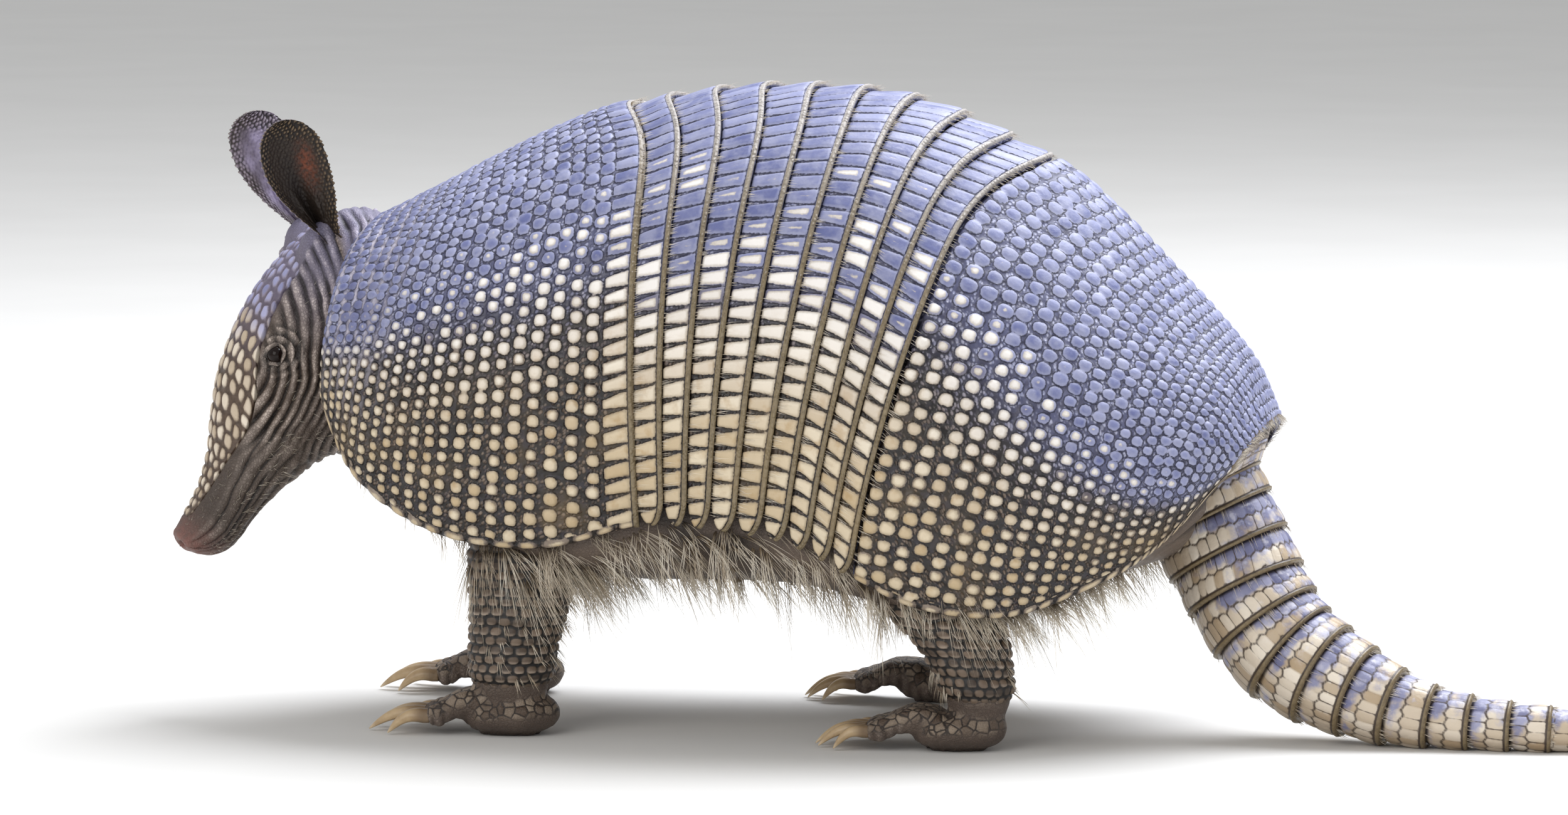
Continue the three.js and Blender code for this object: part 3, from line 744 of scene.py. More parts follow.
def tailCurve():
    # smooth line through the path's points, each stretch timed by the root of its length, and its running
    # length
    p = np.concatenate([2 * tailPath[:1] - tailPath[1:2], tailPath, 2 * tailPath[-1:] - tailPath[-2:-1]])
    knots = np.concatenate([[0], np.cumsum(np.linalg.norm(np.diff(p, axis=0), axis=1) ** 0.5)])
    line = []
    for i in range(1, len(p) - 2):
        t = np.linspace(knots[i], knots[i + 1], 40, endpoint=i == len(p) - 3)[:, None]
        a = [mix(p[j], p[j + 1], (t - knots[j]) / (knots[j + 1] - knots[j])) for j in (i - 1, i, i + 1)]
        b = [mix(a[j], a[j + 1], (t - knots[i - 1 + j]) / (knots[i + 1 + j] - knots[i - 1 + j]))
             for j in (0, 1)]
        line.append(mix(b[0], b[1], (t - knots[i]) / (knots[i + 1] - knots[i])))
    line = np.concatenate(line)
    return line, lengthsAlong(line, 0)


tailLine, tailRun = tailCurve()
tailLength = tailRun[-1]


def tailPoint(distance, angle, grow=0.0):
    # a ring round the tail's line at a distance from its root, flattened where it would pass the floor
    distance = np.clip(distance, 0, tailLength)

    def onLine(place):
        # the line's own point at a running length
        return np.stack([np.interp(place, tailRun, tailLine[:, c]) for c in range(3)], axis=-1)

    centre = onLine(distance)
    forward = unit(onLine(np.minimum(distance + 1.5, tailLength)) - onLine(np.maximum(distance - 1.5, 0)))
    across = unit(np.cross([0, 0, 1.0], forward))
    up = np.cross(forward, across)
    radius = along(tailRadii, distance / tailLength, 1) + grow
    angle = np.radians(angle)
    points = centre + across * (radius * np.cos(angle))[..., None] + up * (radius * np.sin(angle))[..., None]
    points[..., 2] = np.maximum(points[..., 2], 0.0)
    return points


# head, neck and trunk surfaces

headTable = np.array([  # at, top f z, bottom f z, half width: f forward and z up in the head's own plane
    [0, -4, 169, -9, 88, 38],
    [1, 6, 167, 2, 87.5, 32],
    [2, 20, 155.6, 5.5, 87, 27],
    [3, 33, 139, 9, 85.5, 24],
    [4, 41.9, 119.5, 14, 83, 21],
    [5, 45.5, 103, 20.5, 77.5, 17],
    [6, 47.2, 88.8, 28, 70.5, 13],
    [7, 50, 79, 34, 63.5, 11],
    [8, 53.4, 71.5, 39.5, 56.6, 9.8],
    [9, 57, 65.5, 46, 54, 8.6],
    [10, 59, 61, 53, 55, 6],
])
bellyTable = np.array([[0, 1.2], [1, 1.05], [2, 1.04], [4, 1.2], [7, 1.11], [9, 1.03], [11, 1.2], [12, 2.5]])
head = dict(yaw=28.0, root=(-152.0, 0.0), eye=(27.8, 19.2, 122.8), eyeRadius=3.3, eyeTilt=52.0,
            opening=(2.55, 1.9), plates=(1.2, 8.4))
# turn at which the head shield ends, by place along the head
plateEdge = np.array([[1.2, 30], [2, 32], [2.5, 34], [3, 40], [3.5, 46], [4, 60], [4.5, 65], [5, 64],
                      [5.5, 57], [6, 48], [6.5, 43], [7, 37], [7.5, 31], [8.4, 22]], float)
flesh = dict(shellDepth=5.6, neckDepth=5.6, neckNarrow=0.965, napeRise=3.5, trunkEnds=(11.7, 0.35),
             tailFrom=4.0, neckEnd=0.973)


def headPlace(f, left, z):
    # a point of the head from its distance forward, to the left and up, turned about the head's root
    yaw = math.radians(head["yaw"])
    x = head["root"][0] - f * math.cos(yaw) + left * math.sin(yaw)
    y = head["root"][1] - f * math.sin(yaw) - left * math.cos(yaw)
    return np.stack(np.broadcast_arrays(x, y, z), axis=-1)


def headWay(f, left, z):
    # a direction in the head's own forward, left and up
    return headPlace(f, left, z) - headPlace(0.0, 0.0, 0.0)


def headPoint(at, turn, depth=0.0):
    # an oval between a station's top and bottom points
    topF, topZ, lowF, lowZ, width = (along(headTable, at, c) for c in range(1, 6))
    reach = np.hypot(topF - lowF, topZ - lowZ) / 2
    angle = np.radians(turn)
    share = 0.5 - 0.5 * np.cos(angle) * (1 - depth / reach)
    return headPlace(mix(topF, lowF, share), -(width - depth) * np.sin(angle), mix(topZ, lowZ, share))


def trunkPoint(at, around, depth):
    # the carapace's section above, a flattened belly closing it below the rims
    wrap = carapace["wrap"]
    upper = carapacePoint(at, np.clip(around, -wrap, wrap), depth)
    rim = carapacePoint(at, np.full_like(around, wrap), depth)
    top = carapacePoint(at, np.zeros_like(around), depth)
    phi = np.radians(np.clip((np.abs(around) - wrap) / (180 - wrap), 0, 1) * 90)
    down = ((along(bellyTable, at, 1) - 1) * np.sin(phi) ** 0.8)[..., None]
    lower = rim + (rim - top) * down
    lower[..., 1] = np.sign(around) * rim[..., 1] * np.cos(phi)
    return np.where((np.abs(around) > wrap)[..., None], lower, upper)


def rumpPoint(share, around, lift=0.0):
    # from the trunk's last section to the tail's second ring, a little rounded; lift raises it off the skin
    start = trunkPoint(np.full_like(around, flesh["trunkEnds"][0]), around, flesh["shellDepth"] - lift)
    end = tailPoint(np.full_like(around, flesh["tailFrom"]), 90 - around, lift - 1.2)
    middle = (start + end) / 2
    outward = unit(middle - middle.mean(axis=-2, keepdims=True))
    return mix(start, end, share[..., None]) + outward * (3.0 * np.sin(math.pi * share))[..., None]


def neckPoint(t, around):
    # straight from the trunk's front section to the back of the head, swelling a little along the nape
    start = trunkPoint(np.full_like(around, flesh["trunkEnds"][1]), around, flesh["neckDepth"])
    start = start * [1, flesh["neckNarrow"], 1] - [0.5, 0, 0]
    end = headPoint(np.full_like(around, flesh["neckEnd"]), around)
    rise = flesh["napeRise"] * np.sin(math.pi * t) * np.clip(np.cos(np.radians(around)), 0, 1)
    return mix(start, end, t[..., None]) + rise[..., None] * [0, 0, 1]


def tubeNormals(points):
    # outward normals of rows of closed loops
    lengthwise = np.gradient(points, axis=0)
    around = np.roll(points, -1, axis=1) - np.roll(points, 1, axis=1)
    normals = unit(np.cross(lengthwise, around))
    middle = points.mean(axis=1, keepdims=True)
    outward = np.sign(np.sum(normals * (points - middle), axis=-1).mean())
    return normals * outward


def folds(phase, sharp=0.55):
    # rounded crests with narrow valleys between, -1 to 1
    return 2 * np.abs(np.sin(phase / 2)) ** sharp - 1


skinDetail = dict(columns=246, trunkRows=28, neckRows=66, headRows=160, capRows=12, rumpRows=20,
                  foldDepth=1.3, foldWidth=3.3, earMound=(11.0, 12.0, 158.0), nostril=(0.45, 2.6, 0.45))


def eyeFrame(side):
    # middle of an eyeball with its outward, long and short directions; side is 1 left, -1 right
    f, left, z = head["eye"]
    middle = headPlace(f, left * side, z)
    forward = unit(headWay(1.0, 0.0, -0.9))
    outward = unit(headWay(0.28, 1.0 * side, 0.12))
    up = unit(np.cross(outward, np.cross([0, 0, 1.0], outward)))
    ahead = unit(np.cross(up, outward)) * np.sign(np.dot(np.cross(up, outward), forward))
    tilt = math.radians(head["eyeTilt"])
    long = -ahead * math.cos(tilt) + up * math.sin(tilt)
    short = ahead * math.sin(tilt) + up * math.cos(tilt)
    return middle, outward, long, short


def setLids(points, side):
    # skin round an eye follows the ball, dips inside it at the opening and rises in two ring folds outside
    middle, outward, long, short = eyeFrame(side)
    d = points - middle
    r = np.linalg.norm(d, axis=-1)
    near = (r < 13) & (d @ outward > 0)
    a, b = d @ long, d @ short
    oval = np.sqrt((a / head["opening"][0]) ** 2 + (b / head["opening"][1]) ** 2) + 1e-6
    flat = np.hypot(a, b)
    beyond = flat - flat / oval
    waver = 0.55 * roughness(points, 6.0, 21, 2) - 0.14 * beyond * a / flat
    beyond = beyond + ease(1.0, 3.0, beyond) * waver
    ball = head["eyeRadius"]
    target = ball - 1.1 + 1.55 * ease(-0.35, 0.3, beyond)
    weight = ease(4.2, 1.2, beyond)
    ripple = (0.75 * hump(beyond, 1.0, 0.7) - 0.85 * hump(beyond, 2.15, 0.42) + 0.8 * hump(beyond, 3.1, 0.65)
              - 0.9 * hump(beyond, 4.3, 0.5) + 0.6 * hump(beyond, 5.4, 0.75) - 0.5 * hump(beyond, 6.6, 0.5))
    rearward = np.clip(0.5 + 0.5 * a / (flat + 1e-6), 0, 1) * 0.75 + 0.25
    outer = ease(1.6, 2.6, beyond)
    ripple = ripple * mix(1.0, rearward, outer) * ease(9, 4, beyond) * ease(-0.1, 0.4, beyond)
    reach = mix(r, target, weight) + ripple
    moved = middle + unit(d) * reach[..., None]
    # lid: the lid folds, pale with painted highlight; crease: the grooves between them and the opening's rim,
    # painted shade
    lid = hump(beyond, 1.0, 0.75) + (0.9 * hump(beyond, 3.1, 0.6) + 0.6 * hump(beyond, 5.4, 0.6)) * rearward
    rings = hump(beyond, 2.15, 0.5) + hump(beyond, 4.3, 0.55) + 0.7 * hump(beyond, 6.6, 0.5)
    corner = hump(beyond, 2.6, 1.6) * np.clip(-a / (flat + 1e-6) - 0.2, 0, 1)
    crease = mix(1.0, rearward, outer) * rings + 1.4 * ease(0.45, -0.1, beyond) + 0.8 * corner
    lid, crease = np.where(near, lid, 0), np.where(near, crease, 0)
    return np.where(near[..., None], moved, points), lid, crease


def bodyGrid():
    # the skin of trunk, neck and head as one tube, tail end to nose, with folds, lids, mouth and nostrils
    d = skinDetail
    even = np.linspace(-180, 180, 1441)[:-1] + 0.125
    density = 1 + 3.0 * np.exp(-((np.abs(even) - 84) / 34) ** 2)
    run = np.cumsum(density) / density.sum()
    around = np.interp((np.arange(d["columns"]) + 0.5) / d["columns"], run, even)
    trunkAt = np.linspace(*flesh["trunkEnds"], d["trunkRows"])
    neckAt = np.linspace(0, 1, d["neckRows"])
    side = headPoint(np.linspace(1, 10, 400), np.full(400, 80.0))
    length = lengthsAlong(side, 0)
    headAt = np.interp(np.linspace(0, length[-1], d["headRows"] + 1)[1:], length, np.linspace(1, 10, 400))
    trunk = trunkPoint(*grid(trunkAt, around), flesh["shellDepth"])
    neck = neckPoint(*grid(neckAt, around))
    at, turn = grid(headAt, around)
    face = headPoint(at, turn)
    shrink = np.linspace(1, 0.04, d["capRows"] + 1)[1:]
    tip, centre = face[-1], face[-1].mean(axis=0)
    ahead = unit(headWay(1.0, 0.0, -1.0))
    dome = 1.5 * (1 - shrink ** 2.2)
    cap = centre + (tip - centre) * shrink[:, None, None] + dome[:, None, None] * ahead
    rump = rumpPoint(*grid(np.linspace(1, 0, d["rumpRows"] + 1)[:-1], around))
    inside = rump[0].mean(axis=0)
    closing = inside + (rump[0] - inside) * np.array([0.1, 0.4, 0.7])[:, None, None]
    trunk = np.concatenate([closing, rump, trunk])
    points = np.concatenate([trunk, neck, face, cap])
    normals = tubeNormals(points)
    rows = len(points)
    flat = np.zeros((rows, d["columns"]))
    zone = np.repeat([0.0, 1.0, 2.0, 3.0], [len(trunk), len(neck), len(face), len(cap)])[:, None] + flat
    t = np.concatenate([np.zeros(len(trunk)), neckAt, np.ones(len(face) + len(cap))])[:, None] + flat
    noHead = np.zeros(len(trunk) + len(neck))
    place = np.concatenate([noHead, headAt, np.full(len(cap), 10.0)])[:, None] + flat
    wide = np.abs(around) + flat

    # neck rings and cheek folds run together: rings round the eye, wider below, wavered by soft noise
    waver = roughness(points, 28.0, 4, 2) * 4.2 + roughness(points, 10.0, 5, 2) * 1.7
    yaw, (rootX, rootY), z = math.radians(head["yaw"]), head["root"], points[..., 2]
    forward = -(points[..., 0] - rootX) * math.cos(yaw) - (points[..., 1] - rootY) * math.sin(yaw)
    middle = 34 + 0.3 * np.clip(116 - z, 0, None)
    ring = np.hypot(forward - middle, np.where(z < 120, (z - 120) / 3.3, (z - 120) / 4.5))
    onNeck = ease(0.0, 0.16, t) * ease(6.4, 4.2, place) * (zone > 0.5)
    plateTurn = along(plateEdge, place, 1)
    underPlates = ease(plateTurn + 4, plateTurn - 2, wide) * ease(1.1, 1.5, place) * ease(8.7, 8.2, place)
    width = d["foldWidth"] + 0.5 * roughness(points, 30.0, 18, 1)
    fold = folds(ring * (2 * math.pi / width) + waver, 0.9)
    beyondPlates = ease(plateTurn - 1, plateTurn + 4, wide)
    cheek = beyondPlates * mix(1.0, 0.85, ease(1.0, 2.5, place))
    neckShare = ease(1.3, 0.9, place)
    onFolds = onNeck * np.maximum(cheek, neckShare)
    strength = np.clip(0.8 + 1.2 * roughness(points, 13.0, 17, 2), 0.12, 1.25)
    beads = 0.3 * roughness(points, 2.2, 19, 1) + 0.5 * roughness(points, 4.2, 20, 1)
    foldHeight = (d["foldDepth"] * fold * strength + beads) * onFolds
    rumpRing = np.interp(np.arange(rows), [3, 2 + d["rumpRows"]], [0, 1])[:, None]
    rumpFold = folds(rumpRing * 62 + 2.6 * roughness(points, 11.0, 16, 2), 0.8) * ease(1.0, 0.93, rumpRing)
    bellyFold = folds(points[..., 0] * 1.3 + 3.6 * roughness(points, 16.0, 22, 3), 0.8)
    bellyFold = bellyFold * ease(104, 118, wide) * ease(1.0, 0.8, t) * (zone < 1.5)
    foldHeight = foldHeight + 0.9 * rumpFold * (zone < 0.5) + 0.8 * bellyFold
    # jaw and snout: finer folds running lengthwise
    jaw = folds(around * 0.30 + roughness(points, 14.0, 7, 2) * 2.4, 0.6)
    jaw = jaw * ease(3.0, 4.6, place) * ease(60, 80, wide) * ease(9.9, 9.0, place)
    pebble = 0.16 * roughness(points, 1.7, 8, 1) + 0.35 * roughness(points, 6.0, 9, 2)
    lift = foldHeight + 0.34 * jaw + pebble * (zone > 0.5) - 1.9 * underPlates
    # mouth: a groove low on the snout's sides
    mouthTurn = np.interp(place, [5.2, 7, 9.2, 10], [112, 118, 118, 105])
    lip = (wide - mouthTurn) * 0.19
    mouth = hump(lip, 0, 0.55) * ease(5.0, 5.8, place) * (zone < 2.5)
    lift = lift - 0.85 * mouth + 0.3 * hump(lip, -1.4, 0.9) * ease(5.4, 6.4, place)
    # snout end: a thickened rim ring behind the nose
    lift = lift + 0.5 * hump(place, 9.75, 0.22) * (zone < 2.5)
    # each ear stands on a mound
    for side in (-1, 1):
        f, left, up = d["earMound"]
        away = np.linalg.norm((points - headPlace(f, left * side, up)) / [1.0, 1.0, 1.5], axis=-1)
        lift = lift + 7.5 * np.exp(-(away / 7.5) ** 2) * (zone > 0.5)
    points = points + normals * lift[..., None]
    # nostrils: two pits on the nose pad
    pit = 0
    for side in (-1, 1):
        f, left, up = d["nostril"]
        spot = centre + ahead + headWay(f, left * side, up)
        pit = pit + np.exp(-(np.linalg.norm(points - spot, axis=-1) / 1.25) ** 2) * (zone > 1.5)
    points = points - ahead * (2.4 * np.clip(pit, 0, 1))[..., None]
    lids = creases = 0
    for side in (-1, 1):
        points, lid, crease = setLids(points, side)
        lids, creases = lids + lid, creases + crease
    # crests of the folds, lids and jaw ridges: pale beads and painted highlight; the noise below sets how
    # strongly
    paleAmount = np.clip(0.8 + 1.1 * roughness(points, 4.5, 23, 2), 0.1, 1.15)
    crest = ease(0.0, 0.95, fold) * strength * paleAmount * onFolds
    # valley, creases, mouth groove, nostril pits and jaw valleys: painted shade; a darker snout joins them in
    # the dark value
    valley = ease(0.45, -0.5, fold) * np.clip(strength * 1.4, 0, 1) * onFolds
    valley = valley + 0.9 * ease(0.2, -0.7, rumpFold) * (zone < 0.5) + 0.75 * ease(0.1, -0.8, bellyFold)
    crest = crest + 0.75 * ease(0.1, 0.9, rumpFold) * (zone < 0.5)
    values = dict(
        crest=np.clip(crest + 0.42 * paleAmount * ease(0.0, 0.9, jaw) * ease(3.0, 4.6, place) + lids, 0, 1),
        dark=np.clip(valley + creases + mouth + pit * 1.5 + 0.75 * ease(0.1, -0.8, jaw)
                     + 0.34 * ease(3.6, 6.0, place) * ease(10.0, 9.2, place) * (zone > 1.5), 0, 1),
        pink=ease(7.6, 10.2, place) * (zone > 1.5),
        slate=ease(0.25, 0.0, np.abs(t - 0.45) - 0.3) * ease(95, 55, wide) * (zone == 1)
        + ease(100, 30, wide) * ease(3.0, 1.0, place) * (zone >= 2),
        pale=0.35 * ease(112, 130, wide) * (zone < 1),
        scaled=flat)
    return points, values


def addSkinFinish():
    # dark brown wrinkled hide: pale beaded crests with painted highlight, near-black painted shade in valleys
    # and creases, slate nape, pink nose, fine beads
    f = Finish("hide", 0.62)
    crest, dark, pink, slate, pale, scaled = f.values("crest dark pink slate pale scaled")
    broad = f.noise(45.0, 4.0)
    fine = f.noise(420.0, 4.0)
    beads = f.cells(900.0, "DISTANCE_TO_EDGE", 0)
    bead = f.span(beads, 0.04, 0.2)
    tint = f.cellChance(900.0)
    colour = f.blend(broad, (62, 50, 43), (110, 95, 84))
    colour = f.blend(f.times(slate, 0.8), colour, (132, 129, 158))
    colour = f.blend(f.times(pale, 0.8), colour, (168, 150, 132))
    colour = f.blend(f.times(f.minus(1.0, bead), 0.16), colour, (52, 41, 35))
    # pale beads with painted highlight on the crests of the folds
    paleBead = f.times(f.span(bead, 0.0, 1.0, 0.5, 1.0), f.span(tint, 0.1, 0.7, 0.6, 1.0))
    crestColour = f.blend(slate, (192, 177, 166), (204, 195, 208))
    colour = f.blend(f.times(crest, paleBead), colour, crestColour)
    tiles = f.cells(300.0, "DISTANCE_TO_EDGE", 0)
    tileTint = f.cellChance(300.0)
    tile = f.blend(tileTint, (78, 62, 50), (150, 134, 116))
    tile = f.blend(f.span(tiles, 0.03, 0.12), (30, 22, 17), tile)
    colour = f.blend(f.times(scaled, 0.85), colour, tile)
    # painted shade in valleys, creases, mouth and nostrils, with a darker snout
    colour = f.blend(f.times(dark, 0.92), colour, (22, 16, 14))
    colour = f.blend(f.times(pink, f.span(fine, 0.3, 0.7, 0.35, 0.7)), colour, (138, 92, 84))
    height = f.timesPlus(bead, 0.8, f.times(fine, 0.35))
    height = f.timesPlus(f.times(f.span(tiles, 0.0, 0.22), scaled), 1.6, height)
    return f.feed(Base_Color=colour, Normal=f.bump(height, 0.0002, 0.8),
                  Roughness=f.span(fine, 0.3, 0.7, 0.5, 0.68))


hide = addSkinFinish()

# legs and feet

legs = dict(
    front_left=dict(side=-1, knee=-76, ankle=-81, root=-68, spread=50, toes=4, reach=37, heel=16),
    front_right=dict(side=1, knee=-92, ankle=-103, root=-76, spread=49, toes=4, reach=37, heel=16),
    hind_left=dict(side=-1, knee=64, ankle=77, root=62, spread=56, toes=5, reach=47, heel=10),
    hind_right=dict(side=1, knee=46, ankle=50, root=56, spread=56, toes=5, reach=47, heel=10))
feet = dict(
    front=dict(halfWidth=13.5, sole=(13.2, 17), toeRoot=8, toeTip=6, toeRadius=4.3, claw=16.5, clawThick=3.0),
    hind=dict(halfWidth=12.5, sole=(12.2, 22), toeRoot=12, toeTip=8, toeRadius=3.9, claw=13.5, clawThick=2.5))


def legTable(name):
    # height, x, y, reach along and across of a leg's level ovals, floor upwards
    g = legs[name]
    y = g["side"] * g["spread"]
    if name.startswith("hind"):
        rows = [[98, g["root"], y * 0.82, 27, 13], [70, mix(g["root"], g["knee"], 0.6), y * 0.9, 26, 14],
                [48, g["knee"], y * 0.95, 20, 13.5], [32, mix(g["knee"], g["ankle"], 0.7), y, 14, 11.5],
                [17, g["ankle"], y, 10.8, 10.2], [8, g["ankle"] - 1, y, 7.5, 7.5]]
    else:
        rows = [[92, g["root"], y * 0.84, 20, 14], [64, g["knee"], y * 0.95, 19.5, 14.5],
                [44, mix(g["knee"], g["ankle"], 0.6), y, 16, 13.6], [30, g["ankle"], y, 14.2, 12.8],
                [17, g["ankle"] - 1, y, 12.8, 12.0], [8, g["ankle"] - 2, y, 9.5, 9.0]]
    return np.array(rows[::-1], float)


def legPoint(table, z, angle, grow=0.0):
    # a level oval at a height
    x, y, reachX, reachY = (along(table, z, c) for c in range(1, 5))
    angle = np.radians(angle)
    return np.stack([x + (reachX + grow) * np.cos(angle), y + (reachY + grow) * np.sin(angle),
                     z + np.zeros_like(angle)], axis=-1)


def footOf(name):
    # the front or hind foot's measures for a leg
    return feet[name.split("_")[0]]


def toeSpots(name):
    # for each toe: its place across the foot from -1 to 1, root and tip of its middle line, its claw's length
    g, foot = legs[name], footOf(name)
    y, middle = g["side"] * g["spread"], (g["toes"] - 1) / 2
    tipX = g["ankle"] - g["reach"] + foot["toeTip"] + 1.0
    spots = []
    for k in range(g["toes"]):
        off = (k - middle) / middle
        root = np.array([g["ankle"] - foot["toeRoot"], y + off * foot["halfWidth"] * 0.42, 9.5])
        tip = np.array([tipX + 2.6 * off * off, y + off * foot["halfWidth"] * 0.72, 4.9])
        spots.append(dict(off=off, root=root, tip=tip, claw=foot["claw"] * (1.12 - 0.42 * off * off)))
    return spots


def ringsAlong(path, sideways, upwards):
    # loops square to a path, each point a distance sideways and a distance upwards from it
    forward = unit(np.gradient(path, axis=0))
    across = unit(np.cross(forward, [0, 0, 1.0]))
    up = np.cross(across, forward)
    return path[:, None] + across[:, None] * sideways[..., None] + up[:, None] * upwards[..., None]


def capsule(path, radii, columns=20):
    # a round tube along a path, as points and faces
    angle = np.linspace(0, 2 * math.pi, columns, endpoint=False)
    return closedTube(ringsAlong(path, radii[:, None] * np.cos(angle), radii[:, None] * np.sin(angle)))


def legParts(name):
    # the leg's shank, its foot and each toe as separate closed tubes, ready to be melted together
    table, g, foot = legTable(name), legs[name], footOf(name)
    z, angle = grid(np.linspace(4.5, table[-1, 0], 60), circle(64))
    parts = [closedTube(legPoint(table, z, angle))]
    y = g["side"] * g["spread"]
    halfSole, soleFront = foot["sole"]
    heel, front = g["ankle"] + g["heel"] - 0.5, g["ankle"] - soleFront
    t = np.linspace(0, 1, 30)
    bulge = np.sqrt(np.clip(1 - np.abs(2 * t - 1) ** 3.4, 0.03, 1))
    path = np.stack([mix(heel, front, t), np.full(30, float(y)), mix(7.4, 5.6, t)], axis=-1)
    turn = np.linspace(0, 2 * math.pi, 40, endpoint=False)
    wide = bulge * halfSole * (0.72 + 0.28 * np.sin(math.pi * np.clip(t * 0.9, 0, 1)))
    high = bulge * mix(7.2, 5.4, t)
    sole = (path[:, None] + np.array([0, 1.0, 0]) * (wide[:, None] * np.cos(turn))[..., None]
            + np.array([0, 0, 1.0]) * (high[:, None] * np.sin(turn))[..., None])
    parts.append(closedTube(sole))
    for spot in toeSpots(name):
        t = np.linspace(0, 1, 26)
        path = mix(spot["root"], spot["tip"], t[:, None])
        path[:, 2] += 2.6 * np.sin(math.pi * t ** 0.8)
        knuckle = 1 + 0.16 * hump(t, 0.42, 0.14) + 0.12 * hump(t, 0.84, 0.1) - 0.1 * hump(t, 0.64, 0.08)
        rounded = np.sqrt(np.clip(1 - (2 * t - 1) ** 10, 0.05, 1))
        parts.append(capsule(path, foot["toeRadius"] * knuckle * rounded * mix(1.0, 0.86, t)))
    return parts


def melt(name, parts, voxel, passes):
    # parts joined by a voxel remesh, then eased by averaging each point with its neighbours
    points = np.concatenate([p for p, _ in parts])
    faces, start = [], 0
    for p, fs in parts:
        faces += [f + start for f in fs]
        start += len(p)
    piece = makePiece(name, points, faces, hide)
    remesh = piece.modifiers.new("melt", "REMESH")
    remesh.mode = "VOXEL"
    remesh.voxel_size = voxel * 0.001
    made = bpy.data.meshes.new_from_object(piece.evaluated_get(bpy.context.evaluated_depsgraph_get()))
    bpy.data.objects.remove(piece)
    points, faces = meshArrays(made)
    bpy.data.meshes.remove(made)
    return easePoints(points, faces, passes), faces


def meshArrays(mesh):
    # points in the shapes' millimetres and faces by corner count
    points = np.empty(len(mesh.vertices) * 3, np.float32)
    mesh.vertices.foreach_get("co", points)
    points = points.reshape(-1, 3).astype(float) * 1000 - [shiftX, 0, 0]
    starts = np.empty(len(mesh.polygons), np.int32)
    totals = np.empty(len(mesh.polygons), np.int32)
    corners = np.empty(len(mesh.loops), np.int32)
    mesh.polygons.foreach_get("loop_start", starts)
    mesh.polygons.foreach_get("loop_total", totals)
    mesh.loops.foreach_get("vertex_index", corners)
    return points, [corners[starts[totals == n][:, None] + np.arange(n)] for n in np.unique(totals)]


def easePoints(points, faces, passes, weight=None, values=()):
    # each pass moves every point towards the middle of its neighbours; weight holds some of them back
    a = np.concatenate([f.ravel() for f in faces])
    b = np.concatenate([np.roll(f, -1, axis=1).ravel() for f in faces])
    count = np.bincount(a, minlength=len(points)) + np.bincount(b, minlength=len(points))
    weight = 1.0 if weight is None else weight[:, None]
    points = np.concatenate([points, *[v[:, None] for v in values]], axis=1)
    for _ in range(passes):
        total = np.stack([np.bincount(a, column[b], len(points)) + np.bincount(b, column[a], len(points))
                          for column in points.T], axis=-1)
        points = points + weight * 0.6 * (total / np.maximum(count, 1)[:, None] - points)
    return points if values else points[:, :3]


def vertexNormals(points, faces):
    # area-weighted normals from each face's diagonals or sides
    normals = np.zeros_like(points)
    for f in faces:
        p = points[f]
        n = np.cross(p[:, 2] - p[:, 0], p[:, -1] - p[:, 1])
        for k in range(f.shape[1]):
            for axis in range(3):
                normals[:, axis] += np.bincount(f[:, k], n[:, axis], len(points))
    return unit(normals)


def legRelief(points, normals, ankle):
    # toe and sole creases with soft lumps, sunk under the scales higher up, and the colour values
    z = points[:, 2]
    toes = folds(points[:, 0] * (2 * math.pi / 3.4) + 2.0 * roughness(points, 15.0, 12, 2), 0.7)
    toes = toes * ease(16, 8, z) * ease(ankle - 6, ankle - 12, points[:, 0])
    lift = 0.25 * toes + 0.4 * roughness(points, 5.0, 13, 3) - 1.0 * ease(15, 24, z) * ease(84, 72, z)
    # colour values: painted highlight on the toe crests, painted shade in the toe valleys and along the floor
    values = dict(crest=0.25 * ease(0, 0.9, toes), dark=0.5 * ease(0, -0.8, toes) + ease(1.5, 0.2, z) * 0.5,
                  pink=0 * z, slate=0 * z, pale=0.25 * ease(40, 80, z),
                  scaled=ease(24, 15, z) * ease(-0.3, 0.3, normals[:, 2]))
    return lift, values


def legSkin(name):
    # a melted leg with its relief and a flat sole
    points, faces = melt("melted", legParts(name), 1.15, 3)
    normals = vertexNormals(points, faces)
    lift, _ = legRelief(points, normals, legs[name]["ankle"])
    points = points + normals * lift[:, None]
    points[:, 2] = np.where(points[:, 2] < 1.0, 0.25 * points[:, 2].clip(0, 1), points[:, 2])
    return points, faces


